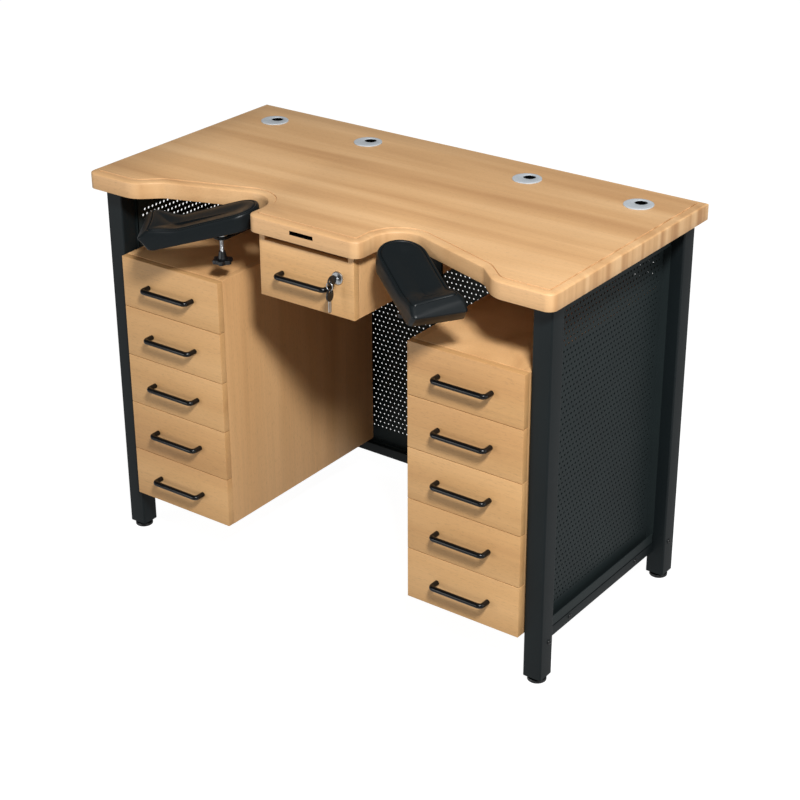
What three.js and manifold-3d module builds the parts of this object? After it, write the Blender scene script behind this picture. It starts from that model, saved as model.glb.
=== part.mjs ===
// A goldsmith's workbench: scalloped beech worktop on a square-tube frame with perforated
// sheet panels, two drawer pedestals, a locking centre drawer and two screw-raised armrests.
// Millimetres, +Z up, the user sits on the -Y side, the floor is z = 0.
import * as THREE from "three";
import { mergeVertices } from "three/addons/utils/BufferGeometryUtils.js";
import Module from "manifold-3d";

const wasm = await Module();
wasm.setup();

// Clearances and curve steps
const FIT = 0.3; // seat gap between pieces that rest on or pass through each other
const REVEAL = 1.5; // visible gap between neighbouring drawer fronts
const CUT_PAST = 1; // how far a cutting tool runs past the face it opens
const ARC_STEP = Math.PI / 14;
const ROUND_SEGMENTS = 20;

// Worktop
const TOP_WIDTH = 1200;
const TOP_DEPTH = 612;
const TOP_HEIGHT = 900;
const TOP_THICKNESS = 40;
const EDGE_RUN = 16; // the moulded rim starts this far in from the edge
const EDGE_DROP = 4; // and falls this far before the face
const EDGE_STEPS = 3;
const WING_CORNER_RADIUS = 20;
const TONGUE_HALF = 145;
const TONGUE_RADIUS = 23;
const CUT_DEPTH = 137; // from the front line to where tongue side and diagonal would meet
const BOWL_RADIUS = 62;
const SHOULDER_TO_WING = 50; // from the diagonal's end across the ogee
const SHOULDER_DEPTH = 45;
const SHOULDER_RADIUS = 40;
const WING_WIDTH = 134;
const WING_RADIUS = 60;
const PIN_SLOT_WIDTH = 62; // mortise for the bench pin in the tongue's front face
const PIN_SLOT_HEIGHT = 9.5;
const PIN_SLOT_LENGTH = 60;
const PIN_SLOT_BELOW_TOP = 14.5;

// Cable grommets
const GROMMET_FROM_SIDE = 110;
const GROMMET_SPACING = 275;
const GROMMET_FROM_BACK = 101;
const GROMMET_FLANGE_RADIUS = 32.5;
const GROMMET_FLANGE_HEIGHT = 2.4;
const GROMMET_SLEEVE_RADIUS = 29;
const GROMMET_SLEEVE_WALL = 2;
const GROMMET_SLEEVE_LENGTH = 22;
const GROMMET_LID = 2;
const GROMMET_OPENING_RADIUS = 13.5;
const GROMMET_OPENING_SHIFT = 10;

// Frame: legs, feet, rails
const LEG_SIZE = 44;
const LEG_WALL = 2;
const LEG_CORNER = 4;
const LEG_PLUG = 5;
const SIDE_OVERHANG = 19;
const FRONT_OVERHANG = 34;
const BACK_OVERHANG = 16.5;
const FOOT_RADIUS = 20.5;
const FOOT_PAD = 7;
const FOOT_SHOW = 13; // floor to leg end
const FOOT_NECK_RADIUS = 9;
const FOOT_STEM_RADIUS = 5;
const FOOT_STEM_LENGTH = 45;
const RAIL_SIZE = 25;
const RAIL_WALL = 1.5;
const RAIL_FROM_FLOOR = 65;
const RAIL_INSET = 30; // rail face behind the legs' outer face at the two sides

// Perforated sheet panels
const SHEET = 1.5;
const HEM_HEIGHT = 24;
const BACK_RETURN = 14;

// Pedestals
const PEDESTAL_WIDTH = 280;
const PEDESTAL_INSET = 68; // worktop's side to the pedestal
const PEDESTAL_BOTTOM = 109;
const PEDESTAL_BELOW_TOP = 191; // worktop's surface to the pedestal's top
const DRAWERS_PER_PEDESTAL = 5;
const CARCASS_WALL = 16;
const CARCASS_BACK = 8;
const CARCASS_SHORTER = 82; // than the worktop is deep
const FRONT_THICKNESS = 17.5;
const FRONT_SETBACK = 19.5; // worktop's front line to the drawer fronts
const RUNNER_WIDTH = 10;
const RUNNER_HEIGHT = 10;
const RUNNER_SETBACK = 6;
const RUNNER_LIFT = 20; // bay floor to the runner's top
const BOX_SIDE_GAP = 1.5;
const BOX_WALL = 12;
const BOX_FLOOR = 6;
const BOX_HEADROOM = 40; // drawer pitch above the box's own height
const BOX_BACK_ROOM = 40; // box's back to the carcass's back

// Bow handles
const HANDLE_SPACING = 128;
const HANDLE_BAR = 11.5;
const HANDLE_REACH = 25; // front face to the bar's centre line
const HANDLE_BEND = 9;
const HANDLE_SIDES = 8;
const HANDLE_ARC_STEP = Math.PI / 8;

// Centre drawer under the tongue
const CENTRE_WIDTH = 247;
const CENTRE_HEIGHT = 141.5;
const CENTRE_SETBACK = 14.7;
const CENTRE_BACK_ROOM = 40; // box's back to the housing's back
const CENTRE_WALL = 15;
const CENTRE_FLOOR = 9;
const CENTRE_NOTCH_HEIGHT = 16.3;
const CENTRE_NOTCH_INSET = 14.5;
const CENTRE_BOX_HEIGHT = 104;
const CENTRE_BOX_LENGTH = 350;
const CENTRE_HANDLE_LIFT = 61;

// Cam lock and keys
const LOCK_X = 82.5;
const LOCK_LIFT = 86;
const LOCK_ROSE_RADIUS = 14;
const LOCK_ROSE_HEIGHT = 4;
const LOCK_BODY_RADIUS = 9.5;
const LOCK_BODY_LENGTH = 24;
const LOCK_KEYHOLE_RADIUS = 4.8;
const KEY_BLADE_WIDTH = 8;
const KEY_BLADE_THICKNESS = 2.2;
const KEY_BLADE_LENGTH = 25;
const KEY_INSERTED = 19;
const KEY_BOW_LENGTH = 27;
const KEY_BOW_WIDTH = 22;
const KEY_BOW_THICKNESS = 4;
const KEY_HOLE_RADIUS = 3.6;
const KEY_HOLE_EDGE = 5.4; // hole centre to the bow's rim
const RING_RADIUS = 8;
const RING_WIRE = 1;

// Armrests
const PAD_FROM_TONGUE = 75; // tongue side to the centre of the pad's round end
const PAD_FROM_FRONT = 50;
const PAD_HEADING = THREE.MathUtils.degToRad(-34);
const PAD_RADIUS = 52;
const PAD_LENGTH = 186; // centre of the round end to the rim of the outer end
const PAD_END_CORNER = 9;
const PAD_RIM_DROP = 23; // worktop surface to the rim above the round end's centre
const PAD_SLOPE = 0.26;
const PAD_THICKNESS = 38; // below the rim at the round end's centre
const PAD_UNDER_SLOPE = 0.232;
const PAD_LIP_RISE = 27;
const PAD_LIP_START = 110;
const PAD_LIP_NEAR = 0.5; // share of the rise at the end's near corner
const PAD_NOSE_REACH = 15; // the outer end swells this far past the rim
const PAD_NOSE_SHARE = 0.57; // at this share of the height
const PAD_END_TUCK = 15; // and the underside ends this far short of the rim
const PAD_END_ZONE = 45;
const PAD_FLARE = 3; // the sides' lower edge stands out this far
const PAD_SWAY = 9; // and further still at the end's outer corner
const PAD_DISH_STEP = 12;
const PAD_DISH_FLAT = 39;
const PAD_STATION = 20; // spacing of sections along the long sides
const PAD_DISH = 5;
const PAD_GROOVE = 2.5;
const PAD_EDGE_ROUND = 8;
const POST_ALONG = 30; // centre of the round end to the screw
const PAD_BOSS_RADIUS = 16;
const PAD_BOSS_DROP = 73; // worktop surface to the boss's flat face
const COLLAR_RADIUS = 15;
const COLLAR_HEIGHT = 8.7;
const COLLAR_CAP = 4;
const BRACKET_WIDTH = 34;
const BRACKET_PLATE = 6;
const BRACKET_WEB_BACK = 20; // cut-out edge to the upright web
const BRACKET_FLANGE = 62;
const SCREW_RADIUS = 5;
const SCREW_DROP = 55; // bracket's lower face to the screw's lower end
const HUB_RADIUS = 8.5;
const HUB_GAP = 30; // bracket's lower face to the knob's hub
const HUB_HEIGHT = 17.5;
const KNOB_RADIUS = 20.3;
const KNOB_LOBE = 2.4;
const KNOB_LOBES = 6;
const KNOB_HEIGHT = 9.5;
const KNOB_LOBE_STEPS = 6;

// Places worked out from the sizes above
const HALF_WIDTH = TOP_WIDTH / 2;
const FRONT_Y = -TOP_DEPTH / 2;
const BACK_Y = TOP_DEPTH / 2;
const UNDERSIDE = TOP_HEIGHT - TOP_THICKNESS;
const LEG_OUTER_X = HALF_WIDTH - SIDE_OVERHANG;
const LEG_FRONT_Y = FRONT_Y + FRONT_OVERHANG;
const LEG_BACK_Y = BACK_Y - BACK_OVERHANG;
const RAIL_OUTER_X = LEG_OUTER_X - RAIL_INSET;
const PANEL_BOTTOM = RAIL_FROM_FLOOR + RAIL_SIZE;
const PANEL_HEIGHT = UNDERSIDE - RAIL_SIZE - PANEL_BOTTOM;
const DRAWER_FACE_Y = FRONT_Y + FRONT_SETBACK;
const CARCASS_FRONT_Y = DRAWER_FACE_Y + FRONT_THICKNESS + FIT;
const SHOULDER_X = HALF_WIDTH - WING_WIDTH - SHOULDER_TO_WING;
const WING_INNER_X = HALF_WIDTH - WING_WIDTH;
const GROMMET_OUTER_X = HALF_WIDTH - GROMMET_FROM_SIDE;
const GROMMET_INNER_X = GROMMET_OUTER_X - GROMMET_SPACING;
const PEDESTAL_OUTER_X = HALF_WIDTH - PEDESTAL_INSET;
const PEDESTAL_HEIGHT = TOP_HEIGHT - PEDESTAL_BELOW_TOP - PEDESTAL_BOTTOM;
const DRAWER_PITCH = PEDESTAL_HEIGHT / DRAWERS_PER_PEDESTAL;
const CARCASS_DEPTH = TOP_DEPTH - CARCASS_SHORTER;
const BOX_HEIGHT = DRAWER_PITCH - BOX_HEADROOM;
const BOX_LENGTH = CARCASS_DEPTH - BOX_BACK_ROOM;
const CENTRE_DEPTH = CENTRE_BOX_LENGTH + CENTRE_BACK_ROOM;
const CENTRE_FACE_Y = FRONT_Y + CENTRE_SETBACK;
const CENTRE_BOTTOM = UNDERSIDE - CENTRE_HEIGHT;

// Looks: colour, roughness, metalness
const BEECH = [0xd0a26f, 0.55, 0];
const BEECH_INSIDE = [0xd8b184, 0.6, 0];
const FRAME_BLACK = [0x26292b, 0.5, 0.3];
const HANDLE_BLACK = [0x14181b, 0.35, 0.4];
const PAD_BLACK = [0x1d2124, 0.6, 0];
const PLASTIC_BLACK = [0x15171a, 0.45, 0];
const STEEL = [0xbfc2c4, 0.3, 1];
const GROMMET_GREY = [0xb9bec2, 0.4, 0.6];

const bench = new THREE.Group();

// Adds one named piece with its own material.
function addPiece(parent, name, geometry, [color, roughness, metalness]) {
  const mesh = new THREE.Mesh(geometry, new THREE.MeshStandardMaterial({ color, roughness, metalness }));
  mesh.name = name;
  parent.add(mesh);
  return mesh;
}

// A closed three.js geometry as a solid that can be joined and cut.
function solid(geometry) {
  const bare = geometry.index ? geometry.toNonIndexed() : geometry.clone();
  for (const attribute of ["normal", "uv"]) {
    bare.deleteAttribute(attribute);
  }
  const merged = mergeVertices(bare, 1e-4);
  const vertProperties = merged.attributes.position.array;
  const triVerts = new Uint32Array(merged.index.array);
  const made = new wasm.Manifold(new wasm.Mesh({ numProp: 3, vertProperties, triVerts }));
  if (made.volume() > 0) {
    return made;
  }
  for (let i = 0; i < triVerts.length; i += 3) {
    [triVerts[i + 1], triVerts[i + 2]] = [triVerts[i + 2], triVerts[i + 1]];
  }
  return new wasm.Manifold(new wasm.Mesh({ numProp: 3, vertProperties, triVerts }));
}

// A solid back as a three.js geometry.
function geometryOf(body) {
  const mesh = body.getMesh();
  const geometry = new THREE.BufferGeometry();
  geometry.setAttribute("position", new THREE.BufferAttribute(mesh.vertProperties, 3));
  geometry.setIndex(new THREE.BufferAttribute(mesh.triVerts, 1));
  geometry.computeVertexNormals();
  return geometry;
}

// A box between two corners.
function box(low, high) {
  const size = high.map((value, i) => value - low[i]);
  const middle = high.map((value, i) => (value + low[i]) / 2);
  return solid(new THREE.BoxGeometry(...size).translate(...middle));
}

// A closed outline through corner points [x, y, radius], each rounded by its own radius.
function roundedOutline(corners, arcStep = ARC_STEP) {
  const points = [];
  const at = (i) => new THREE.Vector2(...corners.at(i % corners.length));
  corners.forEach(([, , radius], i) => {
    const corner = at(i);
    if (!radius) {
      points.push(corner);
      return;
    }
    const back = at(i + corners.length - 1).sub(corner).normalize();
    const ahead = at(i + 1).sub(corner).normalize();
    const half = back.angleTo(ahead) / 2;
    const start = corner.clone().addScaledVector(back, radius / Math.tan(half));
    const centre = corner.clone();
    centre.addScaledVector(back.clone().add(ahead).normalize(), radius / Math.sin(half));
    const turn = (Math.PI - 2 * half) * -Math.sign(back.cross(ahead));
    const steps = Math.max(2, Math.ceil(Math.abs(turn) / arcStep));
    for (let k = 0; k <= steps; k++) {
      points.push(start.clone().rotateAround(centre, (turn * k) / steps));
    }
  });
  return new THREE.Shape(points);
}

// A rectangle centred on the origin with rounded corners.
function roundedRectangle(width, depth, radius) {
  const [x, y] = [width / 2, depth / 2];
  return roundedOutline([[-x, -y, radius], [x, -y, radius], [x, y, radius], [-x, y, radius]]);
}

// An outline pushed up from one height to another.
function prism(shape, from, to) {
  return new THREE.ExtrudeGeometry(shape, { depth: to - from, bevelEnabled: false }).translate(0, 0, from);
}

// A turned piece about Z from [radius, height] points that start and end on the axis.
function turned(profile, segments = ROUND_SEGMENTS) {
  const points = profile.map(([radius, height]) => new THREE.Vector2(radius, height));
  return new THREE.LatheGeometry(points, segments).rotateX(Math.PI / 2);
}

// A plain round bar along Z.
function roundBar(radius, from, to) {
  return turned([[0, from], [radius, from], [radius, to], [0, to]]);
}

// The section of a bent sheet: a path of [a, b] points thickened to one side.
function sheetSection(path, thickness) {
  const points = path.map((p) => new THREE.Vector2(...p));
  const side = points.map((point, i) => {
    const before = i ? point.clone().sub(points[i - 1]).normalize() : null;
    const after = i < points.length - 1 ? points[i + 1].clone().sub(point).normalize() : null;
    const along = (before ?? after).clone().add(after ?? before).normalize();
    const mitre = along.dot(after ?? before);
    return point.clone().addScaledVector(new THREE.Vector2(-along.y, along.x), thickness / mitre);
  });
  return new THREE.Shape([...points, ...side.reverse()]);
}

// The worktop's plan: tongue, bowl, diagonal, ogee and wing on the right, mirrored to the left.
function worktopOutline() {
  const right = [
    [TONGUE_HALF, FRONT_Y, TONGUE_RADIUS],
    [TONGUE_HALF, FRONT_Y + CUT_DEPTH, BOWL_RADIUS],
    [SHOULDER_X, FRONT_Y + SHOULDER_DEPTH, SHOULDER_RADIUS],
    [WING_INNER_X, FRONT_Y, WING_RADIUS],
    [HALF_WIDTH, FRONT_Y, WING_CORNER_RADIUS],
    [HALF_WIDTH, BACK_Y, 0],
  ];
  const left = right.map(([x, y, radius]) => [-x, y, radius]).reverse();
  return roundedOutline([...right, ...left]);
}

const GROMMET_Y = BACK_Y - GROMMET_FROM_BACK;
const GROMMETS = {
  outer_left: -GROMMET_OUTER_X,
  inner_left: -GROMMET_INNER_X,
  inner_right: GROMMET_INNER_X,
  outer_right: GROMMET_OUTER_X,
};

function buildWorktop() {
  const board = new THREE.ExtrudeGeometry(worktopOutline(), {
    depth: TOP_THICKNESS,
    bevelThickness: EDGE_DROP,
    bevelSize: EDGE_RUN,
    bevelOffset: -EDGE_RUN,
    bevelSegments: EDGE_STEPS,
  });
  board.translate(0, 0, UNDERSIDE - EDGE_DROP);
  let top = solid(board);
  const below = UNDERSIDE - TOP_THICKNESS;
  top = top.subtract(box([-TOP_WIDTH, -TOP_DEPTH, below], [TOP_WIDTH, TOP_DEPTH, UNDERSIDE]));
  for (const x of Object.values(GROMMETS)) {
    const hole = roundBar(GROMMET_SLEEVE_RADIUS + FIT, below, TOP_HEIGHT + CUT_PAST);
    top = top.subtract(solid(hole.translate(x, GROMMET_Y, 0)));
  }
  const slotTop = TOP_HEIGHT - PIN_SLOT_BELOW_TOP;
  const slot = box(
    [-PIN_SLOT_WIDTH / 2, FRONT_Y - CUT_PAST, slotTop - PIN_SLOT_HEIGHT],
    [PIN_SLOT_WIDTH / 2, FRONT_Y + PIN_SLOT_LENGTH, slotTop],
  );
  addPiece(bench, "bench_top", geometryOf(top.subtract(slot)), BEECH);
}

// A flanged cap with an off-centre cable opening, pushed into its hole from above.
function buildGrommets() {
  const inner = GROMMET_SLEEVE_RADIUS - GROMMET_SLEEVE_WALL;
  const rim = GROMMET_FLANGE_RADIUS - GROMMET_FLANGE_HEIGHT;
  const cap = turned([
    [0, GROMMET_FLANGE_HEIGHT - GROMMET_LID],
    [inner, GROMMET_FLANGE_HEIGHT - GROMMET_LID],
    [inner, -GROMMET_SLEEVE_LENGTH],
    [GROMMET_SLEEVE_RADIUS, -GROMMET_SLEEVE_LENGTH],
    [GROMMET_SLEEVE_RADIUS, FIT],
    [GROMMET_FLANGE_RADIUS, FIT],
    [rim, GROMMET_FLANGE_HEIGHT],
    [0, GROMMET_FLANGE_HEIGHT],
  ]);
  const opening = roundBar(GROMMET_OPENING_RADIUS, -CUT_PAST, GROMMET_FLANGE_HEIGHT + CUT_PAST);
  const geometry = geometryOf(solid(cap).subtract(solid(opening.translate(0, GROMMET_OPENING_SHIFT, 0))));
  for (const [place, x] of Object.entries(GROMMETS)) {
    addPiece(bench, `grommet_${place}`, geometry, GROMMET_GREY).position.set(x, GROMMET_Y, TOP_HEIGHT);
  }
}

// Square-tube legs with a plugged lower end, and the levelling feet screwed into the plugs.
function buildLegsAndFeet() {
  const tube = solid(prism(roundedRectangle(LEG_SIZE, LEG_SIZE, LEG_CORNER), FOOT_SHOW, UNDERSIDE));
  const hollowSize = LEG_SIZE - 2 * LEG_WALL;
  const hollowShape = roundedRectangle(hollowSize, hollowSize, LEG_CORNER - LEG_WALL);
  const hollow = solid(prism(hollowShape, FOOT_SHOW + LEG_PLUG, UNDERSIDE + CUT_PAST));
  const threadTop = FOOT_SHOW + LEG_PLUG + CUT_PAST;
  const thread = solid(roundBar(FOOT_STEM_RADIUS + FIT, FOOT_SHOW - CUT_PAST, threadTop));
  const leg = geometryOf(tube.subtract(hollow).subtract(thread));
  const foot = turned([
    [0, 0],
    [FOOT_RADIUS, 0],
    [FOOT_RADIUS, FOOT_PAD],
    [FOOT_NECK_RADIUS, FOOT_SHOW - FIT],
    [FOOT_STEM_RADIUS, FOOT_SHOW - FIT],
    [FOOT_STEM_RADIUS, FOOT_STEM_LENGTH],
    [0, FOOT_STEM_LENGTH],
  ]);
  for (const [side, sign] of [["left", -1], ["right", 1]]) {
    const x = sign * (LEG_OUTER_X - LEG_SIZE / 2);
    for (const [end, y] of [["front", LEG_FRONT_Y + LEG_SIZE / 2], ["back", LEG_BACK_Y - LEG_SIZE / 2]]) {
      addPiece(bench, `leg_${end}_${side}`, leg, FRAME_BLACK).position.set(x, y, 0);
      addPiece(bench, `foot_${end}_${side}`, foot, PLASTIC_BLACK).position.set(x, y, 0);
    }
  }
}

// A square-tube rail along X, its outer face on y = 0 and its lower face on z = 0.
function railGeometry(length) {
  const section = new THREE.Shape().moveTo(0, 0).lineTo(RAIL_SIZE, 0);
  section.lineTo(RAIL_SIZE, RAIL_SIZE).lineTo(0, RAIL_SIZE).closePath();
  const [low, high] = [RAIL_WALL, RAIL_SIZE - RAIL_WALL];
  const bore = new THREE.Path().moveTo(low, low).lineTo(low, high).lineTo(high, high).lineTo(high, low);
  section.holes.push(bore.closePath());
  const bar = new THREE.ExtrudeGeometry(section, { depth: length, bevelEnabled: false });
  return bar.rotateX(Math.PI / 2).rotateZ(Math.PI / 2).translate(-length / 2, 0, 0);
}

// A folded sheet panel along X: its field ends on y = 0, its edges are turned towards -Y by the
// depth given, and above and below they run on as a hem face of the height given.
function panelGeometry(length, depth, hem) {
  const path = [
    [-depth, hem],
    [0, hem],
    [0, PANEL_HEIGHT - hem],
    [-depth, PANEL_HEIGHT - hem],
  ];
  if (hem) {
    path.unshift([-depth, 0]);
    path.push([-depth, PANEL_HEIGHT]);
  }
  const bar = new THREE.ExtrudeGeometry(sheetSection(path, SHEET), { depth: length, bevelEnabled: false });
  let panel = solid(bar.rotateX(Math.PI / 2).rotateZ(Math.PI / 2).translate(-length / 2, 0, 0));
  for (const end of [-length / 2, length / 2 - SHEET]) {
    panel = panel.add(box([end, -depth, hem], [end + SHEET, 0, PANEL_HEIGHT - hem]));
  }
  return geometryOf(panel);
}

// Rails and panels of the two sides and the back.
function buildRailsAndPanels() {
  const sideLength = LEG_BACK_Y - LEG_FRONT_Y - 2 * LEG_SIZE;
  const sideMiddle = (LEG_FRONT_Y + LEG_BACK_Y) / 2;
  const backLength = 2 * (LEG_OUTER_X - LEG_SIZE);
  const sideDepth = RAIL_OUTER_X - PEDESTAL_OUTER_X - FIT;
  const sides = [
    { name: "left", x: -RAIL_OUTER_X, y: sideMiddle, turn: -Math.PI / 2, length: sideLength },
    { name: "right", x: RAIL_OUTER_X, y: sideMiddle, turn: Math.PI / 2, length: sideLength },
    { name: "back", x: 0, y: LEG_BACK_Y, turn: Math.PI, length: backLength },
  ];
  for (const { name, x, y, turn, length } of sides) {
    const group = new THREE.Group();
    group.position.set(x, y, 0);
    group.rotation.z = turn;
    bench.add(group);
    const rail = railGeometry(length - 2 * FIT);
    addPiece(group, `bottom_rail_${name}`, rail, FRAME_BLACK).position.z = RAIL_FROM_FLOOR;
    addPiece(group, `top_rail_${name}`, rail, FRAME_BLACK).position.z = UNDERSIDE - RAIL_SIZE;
    const isBack = name === "back";
    const depth = isBack ? BACK_RETURN : sideDepth - SHEET;
    const panel = panelGeometry(length - 2 * FIT, depth, isBack ? 0 : HEM_HEIGHT);
    const mesh = addPiece(group, `panel_${name}`, panel, FRAME_BLACK);
    mesh.position.set(0, isBack ? 0 : sideDepth, PANEL_BOTTOM);
    mesh.rotation.z = isBack ? Math.PI : 0;
  }
}

// A drawer: a full-overlay front on an open box, origin at the middle of the front's lower edge.
function drawerSolid({ front, boxWidth, boxHeight, boxLength, boxLift }) {
  const face = new THREE.ExtrudeGeometry(front, { depth: FRONT_THICKNESS, bevelEnabled: false });
  const board = solid(face.rotateX(Math.PI / 2).translate(0, FRONT_THICKNESS, 0));
  const x = boxWidth / 2;
  const back = FRONT_THICKNESS + boxLength;
  const tray = box([-x, FRONT_THICKNESS - CUT_PAST, boxLift], [x, back, boxLift + boxHeight]);
  const hollow = box(
    [-x + BOX_WALL, FRONT_THICKNESS, boxLift + BOX_FLOOR],
    [x - BOX_WALL, back - BOX_WALL, boxLift + boxHeight + CUT_PAST],
  );
  return board.add(tray.subtract(hollow));
}

// A closed skin through rings of equal count, each end closed by a fan to its middle.
function loft(rings) {
  const count = rings[0].length;
  const middle = (ring) => ring.reduce((sum, p) => sum.add(p), new THREE.Vector3()).divideScalar(count);
  const points = [middle(rings[0]), ...rings.flat(), middle(rings.at(-1))];
  const at = (ring, i) => 1 + ring * count + (i % count);
  const last = rings.length - 1;
  const index = [];
  for (let i = 0; i < count; i++) {
    index.push(0, at(0, i + 1), at(0, i));
    for (let k = 1; k <= last; k++) {
      index.push(at(k - 1, i), at(k - 1, i + 1), at(k, i + 1));
      index.push(at(k - 1, i), at(k, i + 1), at(k, i));
    }
    index.push(points.length - 1, at(last, i), at(last, i + 1));
  }
  const geometry = new THREE.BufferGeometry().setFromPoints(points);
  return solid(geometry.setIndex(index));
}

// A bow handle with its two feet on y = 0, the bar running along X in front of them.
function handleGeometry() {
  const [x, y] = [HANDLE_SPACING / 2, -HANDLE_REACH];
  const corners = [[-x, HANDLE_REACH, 0], [-x, y, HANDLE_BEND], [x, y, HANDLE_BEND], [x, HANDLE_REACH, 0]];
  const route = roundedOutline(corners, HANDLE_ARC_STEP).getPoints().slice(1, -1);
  const path = [new THREE.Vector2(-x, 0), ...route.filter((p) => p.y < 0), new THREE.Vector2(x, 0)];
  const rings = path.map((point, i) => {
    const before = point.clone().sub(path[i - 1] ?? path[0]).normalize();
    const after = (path[i + 1] ?? point).clone().sub(point).normalize();
    const along = before.clone().add(after).normalize();
    const stretch = 1 / along.dot(after.length() ? after : before);
    return Array.from({ length: HANDLE_SIDES }, (_, k) => {
      const angle = (2 * Math.PI * k) / HANDLE_SIDES;
      const across = (Math.cos(angle) * stretch * HANDLE_BAR) / 2;
      const up = (Math.sin(angle) * HANDLE_BAR) / 2;
      return new THREE.Vector3(point.x - along.y * across, point.y + along.x * across, up);
    });
  });
  return geometryOf(loft(rings));
}

// Pedestals: an open-fronted carcass with runner ledges and a stack of equal drawers.
function buildPedestals() {
  const x = PEDESTAL_WIDTH / 2;
  const inner = x - CARCASS_WALL;
  let shell = box([-x, 0, 0], [x, CARCASS_DEPTH, PEDESTAL_HEIGHT]).subtract(
    box(
      [-inner, -CUT_PAST, CARCASS_WALL],
      [inner, CARCASS_DEPTH - CARCASS_BACK, PEDESTAL_HEIGHT - CARCASS_WALL],
    ),
  );
  for (let bay = 0; bay < DRAWERS_PER_PEDESTAL; bay++) {
    const runnerTop = bay * DRAWER_PITCH + RUNNER_LIFT;
    for (const wall of [-inner, inner - RUNNER_WIDTH]) {
      const runner = box(
        [wall, RUNNER_SETBACK, runnerTop - RUNNER_HEIGHT],
        [wall + RUNNER_WIDTH, CARCASS_DEPTH - CARCASS_BACK, runnerTop],
      );
      shell = shell.add(runner);
    }
  }
  const carcass = geometryOf(shell);
  const front = new THREE.Shape().moveTo(-x, REVEAL / 2).lineTo(x, REVEAL / 2);
  front.lineTo(x, DRAWER_PITCH - REVEAL / 2).lineTo(-x, DRAWER_PITCH - REVEAL / 2).closePath();
  const drawerBody = drawerSolid({
    front,
    boxWidth: 2 * (inner - BOX_SIDE_GAP),
    boxHeight: BOX_HEIGHT,
    boxLength: BOX_LENGTH,
    boxLift: RUNNER_LIFT + FIT,
  });
  const drawer = geometryOf(drawerBody);
  const handle = handleGeometry();
  for (const [side, sign] of [["left", -1], ["right", 1]]) {
    const centre = sign * (PEDESTAL_OUTER_X - x);
    const shellMesh = addPiece(bench, `pedestal_${side}`, carcass, BEECH_INSIDE);
    shellMesh.position.set(centre, CARCASS_FRONT_Y, PEDESTAL_BOTTOM);
    for (let bay = 0; bay < DRAWERS_PER_PEDESTAL; bay++) {
      const group = new THREE.Group();
      group.position.set(centre, DRAWER_FACE_Y, PEDESTAL_BOTTOM + bay * DRAWER_PITCH);
      bench.add(group);
      const number = DRAWERS_PER_PEDESTAL - bay;
      addPiece(group, `drawer_${side}_${number}`, drawer, BEECH);
      addPiece(group, `handle_${side}_${number}`, handle, HANDLE_BLACK).position.z = DRAWER_PITCH / 2;
    }
  }
}

// The centre drawer, its open-topped housing, its handle and the lock's seat.
function buildCentreDrawer() {
  const x = CENTRE_WIDTH / 2;
  const inner = x - CENTRE_WALL;
  const housing = box([-x, 0, 0], [x, CENTRE_DEPTH, CENTRE_HEIGHT]).subtract(
    box([-inner, -CUT_PAST, CENTRE_FLOOR], [inner, CENTRE_DEPTH - CENTRE_WALL, CENTRE_HEIGHT + CUT_PAST]),
  );
  const shell = addPiece(bench, "centre_housing", geometryOf(housing), BEECH_INSIDE);
  shell.position.set(0, CENTRE_FACE_Y + FRONT_THICKNESS + FIT, CENTRE_BOTTOM);
  const notchX = x - CENTRE_NOTCH_INSET;
  const notchZ = CENTRE_HEIGHT - CENTRE_NOTCH_HEIGHT;
  const earTop = CENTRE_HEIGHT - REVEAL;
  const front = new THREE.Shape().moveTo(-x, 0).lineTo(x, 0).lineTo(x, earTop).lineTo(notchX, earTop);
  front.lineTo(notchX, notchZ).lineTo(-notchX, notchZ).lineTo(-notchX, earTop).lineTo(-x, earTop).closePath();
  const drawer = drawerSolid({
    front,
    boxWidth: 2 * (inner - BOX_SIDE_GAP),
    boxHeight: CENTRE_BOX_HEIGHT,
    boxLength: CENTRE_BOX_LENGTH,
    boxLift: CENTRE_FLOOR + FIT,
  });
  const bore = roundBar(LOCK_BODY_RADIUS + FIT, -CUT_PAST, FRONT_THICKNESS + CUT_PAST);
  bore.rotateX(-Math.PI / 2).translate(LOCK_X, 0, LOCK_LIFT);
  const group = new THREE.Group();
  group.position.set(0, CENTRE_FACE_Y, CENTRE_BOTTOM);
  bench.add(group);
  addPiece(group, "centre_drawer", geometryOf(drawer.subtract(solid(bore))), BEECH);
  addPiece(group, "centre_handle", handleGeometry(), HANDLE_BLACK).position.z = CENTRE_HANDLE_LIFT;
  buildLock(group);
}

// A key lying in the YZ plane: the bow's middle at the origin, the blade pointing to +Y.
function keySolid() {
  const bowShape = new THREE.Shape().absellipse(0, 0, KEY_BOW_LENGTH / 2, KEY_BOW_WIDTH / 2, 0, 2 * Math.PI);
  const holePath = new THREE.Path();
  holePath.absarc(KEY_HOLE_EDGE - KEY_BOW_LENGTH / 2, 0, KEY_HOLE_RADIUS, 0, 2 * Math.PI, true);
  bowShape.holes.push(holePath);
  const bow = new THREE.ExtrudeGeometry(bowShape, {
    depth: KEY_BOW_THICKNESS,
    bevelEnabled: false,
    curveSegments: ROUND_SEGMENTS,
  });
  bow.translate(0, 0, -KEY_BOW_THICKNESS / 2).rotateX(Math.PI / 2).rotateZ(Math.PI / 2);
  const blade = box(
    [-KEY_BLADE_THICKNESS / 2, KEY_BOW_LENGTH / 2 - CUT_PAST, -KEY_BLADE_WIDTH / 2],
    [KEY_BLADE_THICKNESS / 2, KEY_BOW_LENGTH / 2 + KEY_BLADE_LENGTH, KEY_BLADE_WIDTH / 2],
  );
  return solid(bow).add(blade);
}

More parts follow.
